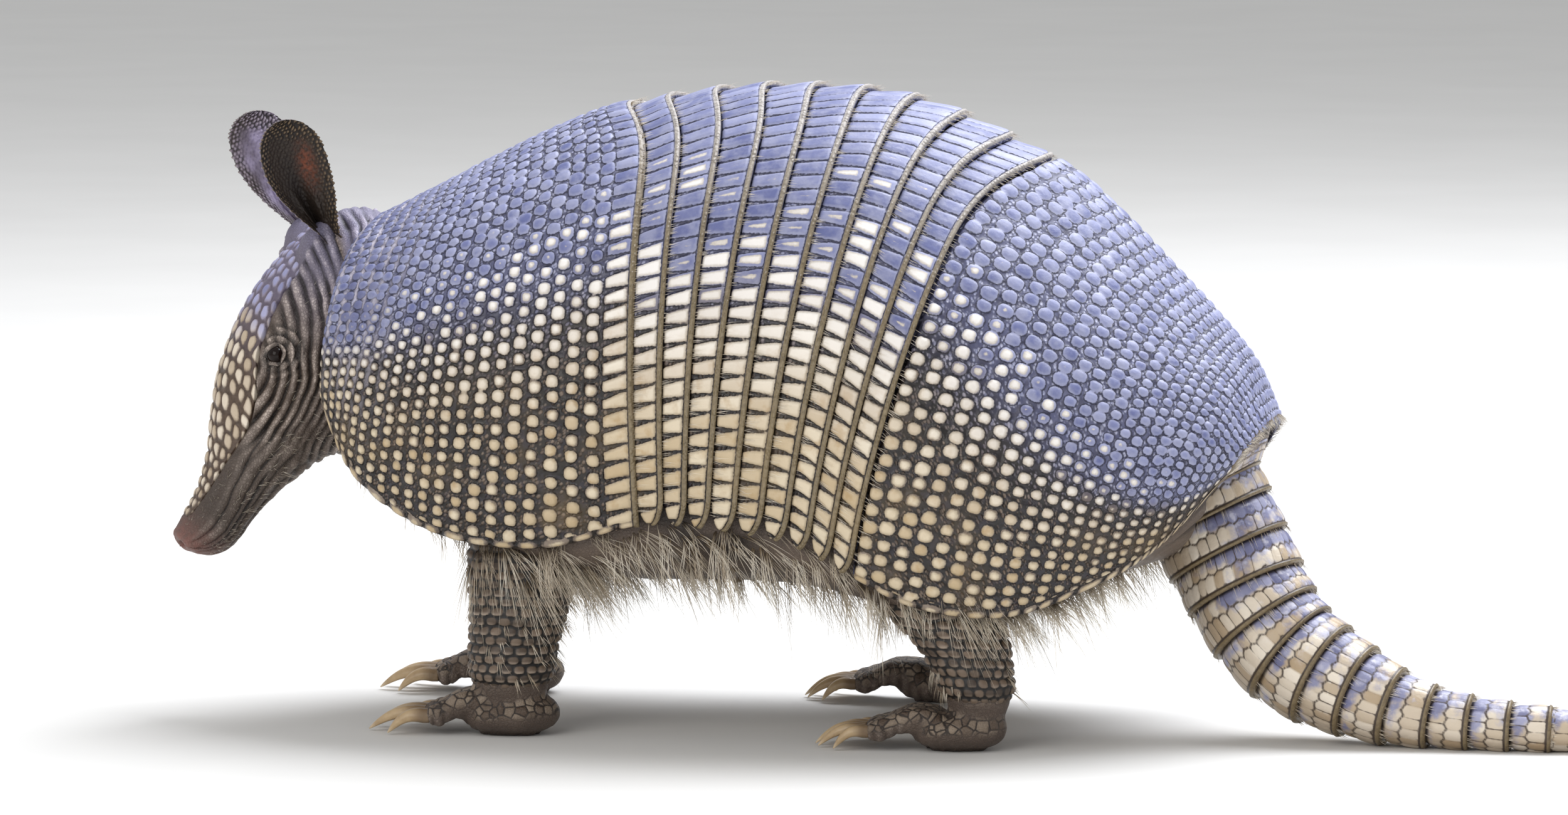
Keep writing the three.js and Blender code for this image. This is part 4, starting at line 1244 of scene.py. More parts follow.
def addSkin():
    # trunk, neck and head tube united with the four legs into one closed skin, eased where they join
    loops, values = bodyGrid()
    points, faces = closedTube(loops)
    values = {key: np.concatenate([v.ravel(), [v[0].mean(), v[-1].mean()]]) for key, v in values.items()}
    body = makePiece("skin", points, faces, hide, values)
    legPoints, legFaces, start = [], [], 0
    for name in legs:
        p, fs = legSkin(name)
        legPoints.append(p)
        legFaces += [f + start for f in fs]
        start += len(p)
    joined = makePiece("legSkin", np.concatenate(legPoints), legFaces, hide,
                       {key: np.zeros(start) for key in values})
    join = body.modifiers.new("join", "BOOLEAN")
    join.operation = "UNION"
    join.solver = "EXACT"
    join.object = joined
    made = bpy.data.meshes.new_from_object(body.evaluated_get(bpy.context.evaluated_depsgraph_get()))
    for piece in (body, joined):
        bpy.data.objects.remove(piece)
    points, faces = meshArrays(made)
    keys = list(values)
    data = []
    for key in keys:
        layer = np.zeros(len(points), np.float32)
        if key in made.attributes:
            made.attributes[key].data.foreach_get("value", layer)
        data.append(layer.astype(float))
    bpy.data.meshes.remove(made)
    # the union numbers its points anew each run, so points and faces are put in order of place
    order = np.lexsort(points.T)
    points, data = points[order], [layer[order] for layer in data]
    faces = [np.argsort(order)[f] for f in faces]
    faces = [f[np.lexsort(f.T)] for f in faces]
    # ease only where a leg leaves the trunk
    z, x = points[:, 2], points[:, 0]
    depth = trunkClearance(points)
    onLeg = np.maximum(ease(-0.5, -3.0, depth) * ease(-124, -114, x), ease(48, 45, z))
    _, ofLeg = legRelief(points, vertexNormals(points, faces), np.where(x < -15, -92.0, 64.0))
    data = [mix(layer, ofLeg[key], onLeg) for key, layer in zip(keys, data)]
    near = hump(depth, 0.0, 5.0) * ease(40, 55, z) * ease(120, 100, z) * ease(-125, -110, x)
    eased = easePoints(points, faces, 14, near, data)
    return makePiece("skin", eased[:, :3], faces, hide, {key: eased[:, 3 + k] for k, key in enumerate(keys)})


def trunkClearance(points):
    # rough distance from the belly's underside: height below the line of the lower rims
    at = np.interp(points[:, 0], carapaceTable[:, 3], carapaceTable[:, 0])
    belly = trunkPoint(at, np.full(len(points), 150.0), flesh["shellDepth"])
    return points[:, 2] - belly[:, 2]


settle(addSkin(), "skin", "trunk", "neck", "head",
       *(f"{part}_{name}" for part in ("leg", "foot") for name in legs))
print("skin")

legScales = dict(height=3.1, width=4.4, low=15.0, front=76.0, hind=64.0, thickness=1.6, rowHeight=0.62,
                 columns=150)


def scaleSleeve(name, material):
    # rings of overlapping scales round a shank, drawn under the skin at both ends
    d = legScales
    table = legTable(name)
    top = d[name.split("_")[0]]
    heights = np.linspace(d["low"], top, int((top - d["low"]) / d["rowHeight"]))
    z, angle = grid(heights, circle(d["columns"]))
    base = legPoint(table, z, angle)
    waver = 1.1 * roughness(base, 16.0, 31, 2)
    count = max(round(0.5 * math.pi * (along(table, 40.0, 3) + along(table, 40.0, 4)) * 2 / d["width"]), 8)
    row = (z + waver) / d["height"]
    level = np.floor(row)
    part = row - level
    cell = angle / 360 * count + 0.5 * (level % 2)
    key = np.floor(cell) % count
    across = np.abs(cell - np.floor(cell) - 0.5 - 0.12 * (chance(key, level, 33) - 0.5)) * 2
    own = chance(key, level, 32)
    rounded = (across ** 2.6 + (np.abs(part - 0.46) * 2.05) ** 3) ** (1 / 2.6)
    edge = (rounded - 0.9) * 0.5 * d["height"]
    ring = folds((z + waver) * (2 * math.pi / (2 * d["height"])), 0.6)
    tile = ease(0.1, -0.7, edge)
    lift = (0.35 + 0.75 * tile * (1.1 - 0.6 * part) * (0.7 + 0.5 * own) + 0.45 * ring
            + 0.35 * roughness(base, 7.0, 34, 2) - 2.6 * ease(4.0, 0.3, np.minimum(z - d["low"], top - z)))
    lower = mix(heights[-1] - 0.4, heights[0] + 0.4, np.linspace(0, 1, 5))
    inner = legPoint(table, *grid(lower, circle(d["columns"])), -d["thickness"] - 1.6)
    points, faces = sleeve(legPoint(table, z, angle, lift), inner)
    values = dict(edge=edge, own=own, part=part, upper=ease(46, 66, z))
    side = name.title().replace("_", "")
    return settle(makePiece("legScales" + side, points, faces, material, values), "leg_skin")


def addLegScaleFinish():
    # brown horny scales with worn pale lower edges and near-black gaps
    f = Finish("leg_scales", 0.5)
    edge, own, part, upper = f.values("edge own part upper")
    fine = f.noise(700.0, 3.0)
    broad = f.noise(60.0, 3.0)
    soft = f.timesPlus(f.minus(fine, 0.5), 0.5, edge)
    scale = f.blend(own, (60, 48, 38), (112, 95, 79))
    scale = f.blend(f.times(f.span(part, 0.5, 0.1), f.span(broad, 0.35, 0.65, 0.1, 0.75)), scale,
                    (178, 162, 146))
    scale = f.blend(f.times(upper, 0.6), scale, (80, 66, 54))
    gap = f.blend(upper, (14, 10, 8), (34, 26, 21))
    colour = f.blend(f.span(soft, 0.05, -0.4), gap, scale)
    return f.feed(Base_Color=colour, Normal=f.bump(fine, 0.0003, 0.6))


legScaleFinish = addLegScaleFinish()
for name in legs:
    scaleSleeve(name, legScaleFinish)
print("leg scales")

# head shield, ears, eyes and claws

headShield = dict(rows=200, columns=170, plateLength=5.7, plateWidth=4.7, thickness=1.5, spare=5.0)


def headShieldPiece():
    # rounded plates in a close mosaic from crown to snout; plates beyond the edge sink under the skin
    d = headShield
    first, last = head["plates"]
    at = np.interp(np.linspace(0, 1, d["rows"]), [0, 0.5, 0.78, 1], [first - 0.35, 4.0, 6.0, last + 0.5])
    at, part = grid(at, np.linspace(-1, 1, d["columns"]))
    edgeTurn = along(plateEdge, at, 1)
    turn = part * (edgeTurn + d["spare"])
    run = lengthsAlong(headPoint(at[:, [d["columns"] // 2]], np.full((d["rows"], 1), 20.0)), 0)
    run = np.broadcast_to(run, at.shape)
    around = fromMiddle(headPoint(at, turn))
    small = mix(1.0, 0.62, ease(75, 112, run))
    length = d["plateLength"] * small * mix(0.72, 1.0, ease(15, 50, run))
    width = d["plateWidth"] * small * mix(0.9, 1.0, ease(8, 45, run))
    column = np.cumsum(np.gradient(run, axis=0) / length, axis=0)
    gap, own, seam = nearestScute(column, around / width + 0.5, length, width, width * 0.5, 41, square=2.2,
                                  jitter=0.34, stretch=length / width)
    edge = np.maximum(gap + 0.1, 0.42 - seam)
    inset = np.minimum(np.abs(edgeTurn + d["spare"]) * (1 - np.abs(part)) * 0.35,
                       np.minimum(run, run[-1:] - run))
    outside = (np.abs(turn) + (own - 0.5) * 3.0 > edgeTurn + 1.0) & (edge < 0.3)
    dome = 0.62 * ease(0.35, -1.2, edge) - 0.42 * ease(-0.2, 0.4, edge)
    lift = dome - 2.4 * ease(2.2, 0.3, inset) - 0.9 * outside
    under = headPoint(at, turn, np.maximum(d["thickness"], -lift + 0.25))
    points, faces = twoSided(headPoint(at, turn, -lift), under)
    values = dict(edge=edge, own=own, crown=ease(68, 24, run + 0.25 * np.abs(around)))
    piece = makePiece("headShield", points, faces, addHeadPlateFinish(), values,
                      dict(edge=0.5, own=0.5, crown=0.5))
    return settle(piece, "head_plates", "head_shield")


def addHeadPlateFinish():
    # cream oval plates with brown joints, slate towards the crown
    f = Finish("head_plates", 0.45)
    edge, own, crown = f.values("edge own crown")
    fine = f.noise(800.0, 3.0)
    broad = f.noise(60.0, 3.0)
    soft = f.plus(edge, f.times(f.minus(fine, 0.5), 0.6))
    plate = f.span(soft, 0.12, -0.4)
    cream = f.blend(own, (182, 164, 140), (226, 214, 196))
    slate = f.blend(own, (124, 126, 166), (168, 168, 202))
    body = f.blend(f.span(f.plus(crown, f.times(own, 0.35)), 0.45, 0.9), cream, slate)
    body = f.blend(f.span(soft, -0.2, -0.9, 0.45, 0.0), body, (128, 106, 84))
    joint = f.blend(f.noise(500.0, 2.0), (44, 32, 26), (104, 84, 68))
    joint = f.blend(f.times(crown, 0.75), joint, (112, 106, 130))
    colour = f.blend(plate, joint, body)
    pores = f.cells(1500.0, "F1", 0)
    height = f.timesPlus(fine, 0.5, f.times(pores, 0.3))
    return f.feed(Base_Color=colour, Normal=f.bump(height, 0.0003, 0.6),
                  Roughness=f.span(broad, 0.3, 0.7, 0.38, 0.55))


headShieldPiece()

earDetail = dict(height=38.5, width=22.4, base=163.5, widest=0.58, thickness=1.5, rows=124, columns=84,
                 bead=1.4)


def earPiece(side, material):
    # an oval leaf, widest a little over halfway up, cupped outward, folded at its base and beaded all over
    d = earDetail
    up, across = grid(np.linspace(-0.32, 0.996, d["rows"]), np.linspace(-1, 1, d["columns"]))
    up = 1 - (1 - up) ** 1.25 * 1.32 ** -0.25
    low = np.clip(up, 0, 1)
    below = mix(0.30, 1.0, np.sin(math.pi / 2 * np.clip(low / d["widest"], 0, 1)) ** 0.95)
    above = np.sqrt(np.clip(1 - ((low - d["widest"]) / (1 - d["widest"])).clip(0, 1) ** 2.6, 0.0009, 1))
    width = 0.5 * d["width"] * np.where(low < d["widest"], below, above) * (1 + 1.7 * np.clip(up, -0.35, 0))

    def leaf(offset, spread=0.0):
        # the leaf's sheet: its sides bend forward with the square of their distance from its middle
        bend = (across * np.where(low < d["widest"], 1.0, above)) ** 2
        cup = 6.4 * bend * (1 - 0.35 * up) + 3.0 * (1 - low) ** 3 * bend
        fold = (2.6 * hump(across, 0.32, 0.17) * hump(up, 0.12, 0.2)
                + 2.0 * hump(across, -0.36, 0.15) * hump(up, 0.2, 0.2)
                - 2.2 * hump(across, -0.02, 0.2) * ease(0.55, 0.1, up))
        f = 10.2 + 13.8 * (1 - (1 - up) ** 2) + (width + spread) * across
        left = 12 + 11 * up + cup + fold - offset
        high = d["base"] + d["height"] * up
        return headPlace(f, side * left, high)

    front = leaf(0.0)
    run, wide = lengthsAlong(front, 0), fromMiddle(front)
    tall, broad = d["bead"], d["bead"] * 1.1
    gap, _, _ = nearestScute(run / tall, wide / broad, tall, broad, tall * 0.5, 61, square=2.0, jitter=0.3)
    rimward = ease(0.55, 0.97, np.maximum(np.abs(across), ease(0.5, 1.0, up) * 0.98))
    bead = ease(0.1, -0.5, gap) * (0.42 + 0.5 * rimward)
    jag = 0.55 * bead * ease(0.86, 1.0, np.maximum(np.abs(across), ease(0.8, 1.0, up)))
    points, faces = twoSided(leaf(-bead, jag), leaf(d["thickness"] * mix(1.0, 0.75, rimward) + bead, jag))
    glow = hump(across, -0.42, 0.24) * hump(up, 0.6, 0.17)
    # hollow: the low middle of the cup, where the finish paints shade
    hollow = hump(across, 0.0, 0.5) * ease(1.0, 0.5, up)
    both = dict(bead=np.tile(bead / 0.9, (2, 1)), rimward=np.tile(rimward, (2, 1)))
    name = "Left" if side > 0 else "Right"
    piece = makePiece("ear" + name, points, faces, material,
                      dict(**both, glow=glow, hollow=hollow, cupSide=np.ones_like(up)))
    return settle(piece, "ears", "ear_" + name.lower())


def addEarFinish():
    # dark leathery ear with painted shade in its hollow, paler beads towards the rim, a warm glow where it is
    # thin, grey-lilac on its back
    f = Finish("ear_leather", 0.6)
    bead, rimward, glow, hollow, cupSide = f.values("bead rimward glow hollow cupSide")
    broad = f.noise(90.0, 4.0)
    fine = f.noise(700.0, 3.0)
    cup = f.blend(broad, (26, 18, 12), (58, 45, 34))
    # painted shade in the hollow of the cup
    cup = f.blend(f.times(hollow, 0.6), cup, (18, 12, 9))
    cup = f.blend(f.times(glow, f.span(fine, 0.35, 0.65, 0.15, 0.8)), cup, (128, 62, 32))
    back = f.blend(f.span(broad, 0.3, 0.7), (78, 68, 82), (158, 148, 178))
    back = f.blend(f.times(rimward, 0.6), back, (84, 70, 62))
    base = f.blend(cupSide, back, cup)
    lit = f.blend(cupSide, (150, 140, 152), (122, 103, 80))
    colour = f.blend(f.times(f.span(bead, 0.3, 0.9), f.span(rimward, 0.0, 1.0, 0.3, 0.8)), base, lit)
    colour = f.blend(f.times(f.span(bead, 0.25, 0.0), f.span(rimward, 0.1, 0.6, 0.0, 0.85)), colour,
                     (20, 14, 11))
    height = f.timesPlus(fine, 0.5, f.times(f.cells(900.0, "F1", 0), 0.6))
    return f.feed(Base_Color=colour, Normal=f.bump(height, 0.0003, 0.7))


earFinish = addEarFinish()
for side in (1, -1):
    earPiece(side, earFinish)


def addEyeFinish():
    # near-black wet ball, a trace of brown in its depth
    f = Finish("wet_eye", 0.05, IOR=1.3)
    brown = f.noise(300.0, 3.0)
    return f.feed(Base_Color=f.blend(brown, (8, 6, 7), (34, 20, 14)))


def eyePiece(side, material):
    # a ball with a slightly raised cornea facing out, rings round its outward axis
    middle, outward, long, short = eyeFrame(side)
    polar, angle = grid(np.linspace(0.02, math.pi - 0.02, 36), np.radians(circle(48)))
    radius = head["eyeRadius"] + 0.18 * hump(polar, 0.0, 0.55)
    shares = np.cos(polar), np.sin(polar) * np.cos(angle), np.sin(polar) * np.sin(angle)
    ways = outward, long, short
    points, faces = closedTube(middle + sum((radius * s)[..., None] * way for s, way in zip(shares, ways)))
    name = "Left" if side > 0 else "Right"
    return settle(makePiece("eye" + name, points, faces, material), "eyes", "eye_" + name.lower())


eyeFinish = addEyeFinish()
for side in (1, -1):
    eyePiece(side, eyeFinish)


def addClawFinish():
    # tan horn, darker and dirtier at its root, fine grooves along it, worn pale tip
    f = Finish("claw_horn", 0.36)
    alongClaw, = f.values("along")
    streak = f.noise(260.0, 4.0)
    colour = f.blend(streak, (150, 122, 88), (202, 178, 140))
    colour = f.blend(f.span(alongClaw, 0.45, 0.0, 0.0, 0.7), colour, (84, 64, 48))
    colour = f.blend(f.span(alongClaw, 0.8, 1.0, 0.0, 0.5), colour, (226, 210, 182))
    return f.feed(Base_Color=colour, Normal=f.bump(f.noise(900.0, 2.0), 0.0002, 0.5))


def clawPiece(name, k, spot, material):
    # a long claw: a tapering cone that curves down to the floor, flatter beneath, rooted in its toe
    t = np.linspace(-0.16, 1, 30)
    s = np.clip(t, 0, 1)
    foot, tip = footOf(name), spot["tip"]
    x = tip[0] - 1.3 - spot["claw"] * t
    y = tip[1] + spot["off"] * foot["halfWidth"] * 0.2 * t
    path = np.stack([x, y, mix(5.6, 0.75, s ** 1.7) + 1.1 * np.sin(math.pi * s) ** 1.2], axis=-1)
    size = (foot["clawThick"] * (1 - s ** 1.6) ** 0.8 + 0.22)[:, None]
    angle = np.radians(circle(24))
    upward = np.sin(angle)
    profile = np.where(upward > 0, upward * 1.05, upward * (0.55 + 0.1 * np.cos(2 * angle)))
    ridge = 1 + 0.035 * np.cos(angle * 9)
    loops = ringsAlong(path, size * 0.86 * np.cos(angle) * ridge, size * profile * ridge)
    loops[..., 2] = np.maximum(loops[..., 2], 0.0)
    points, faces = closedTube(loops)
    share = np.concatenate([np.repeat(s, len(angle)), [s[0], s[-1]]])
    node = f"claw_{name}_{k}"
    return settle(makePiece(node, points, faces, material, dict(along=share)), "claws", node)


clawFinish = addClawFinish()
for name in legs:
    for k, spot in enumerate(toeSpots(name)):
        clawPiece(name, k + 1, spot, clawFinish)
print("head shield, ears, eyes and claws")

# tail

def tailPlates(column, angle, count, length, width, seed, joint=0.12, jitter=0.16):
    # staggered rows of long plates round the tail with thin seams: mm outside a plate, and its chance
    gap, own, seam = nearestScute(column, angle / 360 * count, length, width, width * 0.64, seed, square=3.0,
                                  jitter=jitter, stretch=length / width, wrap=count)
    return np.maximum(gap, joint - seam), own


def ringRelief(edge, rear):
    # plates end at a raised rim: mm outside a plate, the rim's share, and the lift of plates, seams and rim
    rimWidth = tail["rimWidth"]
    edge = np.maximum(edge, 0.5 - np.abs(rear - rimWidth))
    rim = ease(rimWidth + 0.15, rimWidth - 0.25, rear)
    plates = 0.26 * ease(0.2, -0.7, edge) - 0.2 * ease(-0.2, 0.4, edge)
    return edge, rim, plates * (1 - rim) + 0.55 * hump(rear, 0.75, 0.6)


def ringPiece(k, material):
    # one tail ring: a sleeve of long plates in staggered rows that flares to a raised rear rim
    d = tail
    start = k * d["pitch"] + (d["gap"] / 2 - d["overlap"] if k else -2.0)
    end = (k + 1) * d["pitch"] - d["gap"] / 2
    girth = 2 * math.pi * float(along(tailRadii, (k + 0.5) * d["pitch"] / tailLength, 1))
    columns = int(np.clip(girth / d["grain"], 80, 180)) // 2 * 2
    distance, angle = grid(mix(start, end, np.linspace(0, 1, d["rows"])), circle(columns))
    across, rear = distance - k * d["pitch"], end - distance
    count = max(round(girth / d["plateWidth"]), 8)
    edge, own = tailPlates((rear - d["rimWidth"]) / d["plateLength"] - 0.5, angle, count, d["plateLength"],
                           girth / count, 70 + k)
    edge, rim, lift = ringRelief(edge, rear)
    lift = lift - 0.7 + 1.2 * ease(0.0, 11.0, across)
    if k:
        lift = lift - 1.5 * ease(2.6, -1.8, across) - 0.3 * ease(0.7, 0.0, rear)
    inner = tailPoint(*grid(mix(end - 0.2, start + 0.4, np.linspace(0, 1, 5)), circle(columns)),
                      -d["thickness"] - 1.6)
    points, faces = sleeve(tailPoint(distance, angle, lift), inner)
    # tuck: the front under the ring before, painted shade in the finish
    values = dict(edge=edge, own=own, rim=rim, shade=ease(7.5, 2.0, across), up=np.sin(np.radians(angle)),
                  tuck=ease(1.3, 0.2, across) * (k > 0))
    piece = makePiece(f"tailRing{k + 1}", points, faces, material, values)
    return settle(piece, "tail", f"tail_ring_{k + 1}")


collar = dict(rows=76, columns=200, plates=38, pitch=12.6)


def collarPiece(material):
    # two wider rings that carry the tail's plates on over the rump, up under the hip shield
    d, pitch = tail, collar["pitch"]
    s, angle = grid(np.linspace(0, 1, collar["rows"]), circle(collar["columns"]))
    around = (270 - angle) % 360 - 180
    share = mix(0.08 + 0.42 * ease(0.3, 0.98, np.sin(np.radians(angle))), 1.0, s)
    base = rumpPoint(share, around)
    run = lengthsAlong(base, 0)
    ring, within = np.divmod(run[-1:] - run, pitch)
    width = np.linalg.norm(np.roll(base, -1, axis=1) - np.roll(base, 1, axis=1), axis=-1) / 2
    width = width * collar["columns"] / collar["plates"]
    edge, own = tailPlates((within - d["rimWidth"]) / d["plateLength"] - 0.5 + 2 * ring, angle,
                           collar["plates"], d["plateLength"], width, 69)
    edge, rim, lift = ringRelief(edge, within)
    front = ease(2.5, 0.0, run)
    lift = lift + 1.3 - 1.1 * within / pitch - 2.8 * front
    points, faces = sleeve(rumpPoint(share, around, lift), rumpPoint(share[::-12], around[::-12], -3.0))
    # tuck: edges under the hip shield and under the next ring, painted shade in the finish
    values = dict(edge=edge, own=own, rim=rim, shade=ease(6.0, 11.0, within), up=np.sin(np.radians(angle)),
                  tuck=np.clip(ease(pitch - 1.2, pitch - 0.2, within) + front, 0, 1))
    return settle(makePiece("tailCollar", points, faces, material, values), "tail")


def addTailFinish():
    # tan and cream plates with thin brown seams, slate at each ring's front and along the top, painted
    # highlight in pale patches on the top, painted shade on the tucked fronts, brown rims
    f = Finish("tail_horn", 0.46)
    edge, own, rim, shade, up, tuck = f.values("edge own rim shade up tuck")
    fine = f.noise(850.0, 3.0)
    broad = f.noise(75.0, 3.0)
    mottle = f.noise(230.0, 3.0)
    soft = f.plus(edge, f.times(f.minus(fine, 0.5), 0.3))
    plate = f.span(soft, 0.1, -0.24)
    cream = f.blend(own, (170, 148, 118), (230, 220, 204))
    cream = f.blend(f.span(up, -0.7, 0.1, 0.35, 0.0), cream, (120, 98, 74))
    slate = f.blend(own, (98, 100, 134), (158, 159, 186))
    blue = f.timesPlus(shade, 0.5, f.times(f.span(up, -0.35, 0.8), 0.55))
    patches = f.timesPlus(f.minus(broad, 0.5), 1.3, f.times(f.minus(mottle, 0.5), 0.9))
    body = f.blend(f.span(f.plus(blue, patches), 0.42, 0.78), cream, slate)
    # near-white patches along the top: painted highlight
    body = f.blend(f.times(f.span(mottle, 0.55, 0.7), f.span(up, 0.0, 0.8, 0.0, 0.5)), body,
                   (222, 220, 230))
    joint = f.blend(fine, (30, 22, 20), (84, 68, 54))
    colour = f.blend(plate, joint, body)
    # painted shade on each ring's front under the ring before and on the collar's tucked edges
    colour = f.blend(f.times(tuck, 0.85), colour, (34, 27, 25))
    rimColour = f.blend(fine, (66, 52, 34), (148, 130, 96))
    colour = f.blend(f.span(rim, 0.3, 0.8), colour, rimColour)
    return f.feed(Base_Color=colour, Normal=f.bump(fine, 0.0003, 0.6),
                  Roughness=f.span(broad, 0.3, 0.7, 0.34, 0.5))


whip = dict(rows=170, columns=44, plates=10, plateLengths=(5.2, 3.0))


def whipPiece(name, node, start, end, material, closedTip):
    # the thin end of the tail: rows of small scutes closing in to its tip
    s, angle = grid(np.linspace(0, 1, whip["rows"]), circle(whip["columns"]))
    distance = mix(start, end, s)
    radius = along(tailRadii, distance / tailLength, 1)
    size = mix(*whip["plateLengths"], ease(start, end, distance))
    column = np.cumsum(np.gradient(distance, axis=0) / size, axis=0)
    edge, own = tailPlates(column, angle, whip["plates"], size, 2 * math.pi * radius / whip["plates"], 90,
                           joint=0.1, jitter=0.12)
    tipRound = np.sqrt(np.clip(1 - ((s - 0.985) / 0.015).clip(0, 1) ** 2, 0.02, 1)) if closedTip else 1.0
    lift = -0.3 + 0.16 * ease(0.1, -0.6, edge) - 0.14 * ease(-0.2, 0.3, edge) - radius * (1 - tipRound)
    points, faces = closedTube(tailPoint(distance, angle, lift))
    values = dict(edge=edge, own=own, rim=0 * s, shade=0.25 + 0 * s, up=np.sin(np.radians(angle)), tuck=0 * s)
    return settle(makePiece(name, points, faces, material, values), "tail", node)


tailFinish = addTailFinish()
collarPiece(tailFinish)
for k in range(tail["rings"]):
    ringPiece(k, tailFinish)
ringsEnd = tail["rings"] * tail["pitch"] + tail["gap"] / 2
whipMiddle = mix(ringsEnd, tailLength, 0.5)
whipPiece("tailWhip", "tail_whip", ringsEnd - 1.5, whipMiddle, tailFinish, False)
whipPiece("tailTip", "tail_tip", whipMiddle, tailLength - 0.1, tailFinish, True)
print("tail")

# how many tufts of each kind, and the heights between which the upper legs carry theirs
hair = dict(thick=0.13, steps=5, seed=90, patch=0.003, belly=760, flank=300, upperLeg=150, lowerLeg=60,
            rim=190, tail=46, face=420, upperLevels=dict(front=(52, 68), hind=(46, 74)))


def surfaceFrame(shape, a, b, stepA, stepB, middle):
    # points of a surface with the unit normals that face away from a middle line and the unit way along a
    points = shape(a, b)
    wayA = unit(shape(a + stepA, b) - points)
    wayB = shape(a, b + stepB) - points
    normals = unit(np.cross(wayA, wayB))
    outward = np.sign(np.sum(normals * (points - middle), axis=-1, keepdims=True))
    return points, normals * outward, wayA


def strands(name, slot, roots, thick=1.0):
    # tapered three-sided hairs: each runs from its root along its way and turns towards its bend as the
    # square of its length, and its patch in the unwrap lies at its root's place; each set of roots holds
    # points, ways, bends, lengths, places and tones
    points, ways, bends, lengths, places, tones = (np.concatenate(v) for v in zip(*roots))
    count, steps = len(points), hair["steps"]
    t = np.linspace(0, 1, steps)
    run = ways[:, None] * t[:, None] + bends[:, None] * t[:, None] ** 2
    path = points[:, None] + lengths[:, None, None] * run
    across = unit(np.cross(unit(ways), [0.31, 0.87, 0.38]))
    up = np.cross(unit(ways), across)
    angle = np.radians([0, 120, 240])[:, None]
    ringWay = across[:, None] * np.cos(angle) + up[:, None] * np.sin(angle)
    radius = hair["thick"] * thick * (1.02 - t ** 1.6)
    rings = path[:, :, None] + ringWay[:, None] * radius[:, None, None]
    index = np.arange(count * steps * 3).reshape(count, steps, 3)
    turned = np.roll(index, -1, axis=2)
    sides = np.stack([index[:, :-1], turned[:, :-1], turned[:, 1:], index[:, 1:]], axis=-1).reshape(-1, 4)
    ends = np.concatenate([index[:, 0, ::-1], index[:, -1]])
    share = np.broadcast_to(t[:, None], (count, steps, 3))
    uv = (places[:, :1, None] + hair["patch"] * np.array([0.0, 1.0, 0.5]) + 0 * share,
          places[:, 1:, None] + hair["patch"] * share)
    piece = makePiece(name, rings.reshape(-1, 3), [sides, ends], hairFinish,
                      dict(tip=share, tone=np.repeat(tones, steps * 3)), uv=uv, uvName="OFBake")
    return settle(piece, slot)


def tufts(count, each, seed):
    # random numbers for tufts of hairs: shared ones for each tuft and own ones for each hair
    dice = np.random.default_rng(hair["seed"] + seed)
    shared = np.repeat(dice.random((count, 5)), each, axis=0)
    return shared, dice.random((count * each, 5)), dice.normal(0, 1, (count * each, 3))


def placeOnBody(points, angle):
    # place on the skin's unwrap: share along the body, share round it
    return np.stack([np.clip((points[:, 0] + 230) / 640, 0, 0.99), 0.2 + 0.6 * (angle % 360) / 360], axis=-1)


def addHairFinish():
    # straw to brown hair, darker at the root, partly its own colour and partly painted shade among the hairs,
    # clear towards the tip
    f = Finish("coat_hair", 0.45)
    tip, lock = f.values("tip tone")
    straw = f.blend(lock, (150, 126, 92), (246, 238, 222))
    # root colour: partly the hair's own and partly painted shade among the hairs
    colour = f.blend(f.span(tip, 0.0, 0.6), f.blend(lock, (58, 45, 32), (140, 120, 92)), straw)
    return f.feed(Base_Color=colour)


hairFinish = addHairFinish()


def bellyHair():
    # long sparse hair hanging from flanks and belly, thickest just under the lower rims
    for name, seed, front, low, high, size in (("belly", 1, 0.5, 122, 180, (6, 19)),
                                               ("flank", 2, 2.6, 114, 126, (6, 25))):
        shared, own, spray = tufts(hair[name], 5, seed)
        at = mix(front, 10.4, shared[:, 0]) + (own[:, 0] - 0.5) * 0.1
        side = np.where(shared[:, 1] < 0.5, -1.0, 1.0)
        around = side * (mix(low, high, shared[:, 2]) + (own[:, 1] - 0.5) * 2)
        depth = flesh["shellDepth"]
        middle = trunkPoint(at, np.full_like(at, 180.0), depth) * [1, 0, 1] + [0, 0, 30.0]
        points, normals, rearward = surfaceFrame(lambda a, b: trunkPoint(a, b, depth + 0.4), at, around, 0.05,
                                                 0.5, middle)
        ways = unit(normals * [0.6, 0.3, 0.6] + rearward * 0.55 + [0, 0, -0.4] + spray * 0.12
                    + (shared[:, 3:4] - 0.5) * [1.3, 0.3, 0.5])
        bends = np.array([0.1, 0, -0.42]) + spray[:, ::-1] * 0.06
        lengths = mix(*size, shared[:, 4]) * mix(0.7, 1.1, own[:, 2])
        patchy = mix(0.6, 1.25, ease(-0.5, 0.6, roughness(points, 13.0, 51, 2)))
        lengths = lengths * patchy * ease(-1.5, 3.0, at)
        tones = np.clip(0.35 + 0.75 * shared[:, 2] + 0.3 * (own[:, 3] - 0.5), 0, 1)
        root = points, ways, bends, lengths, placeOnBody(points, around + 180), tones
        strands(name + "Hair", "skin", [root])


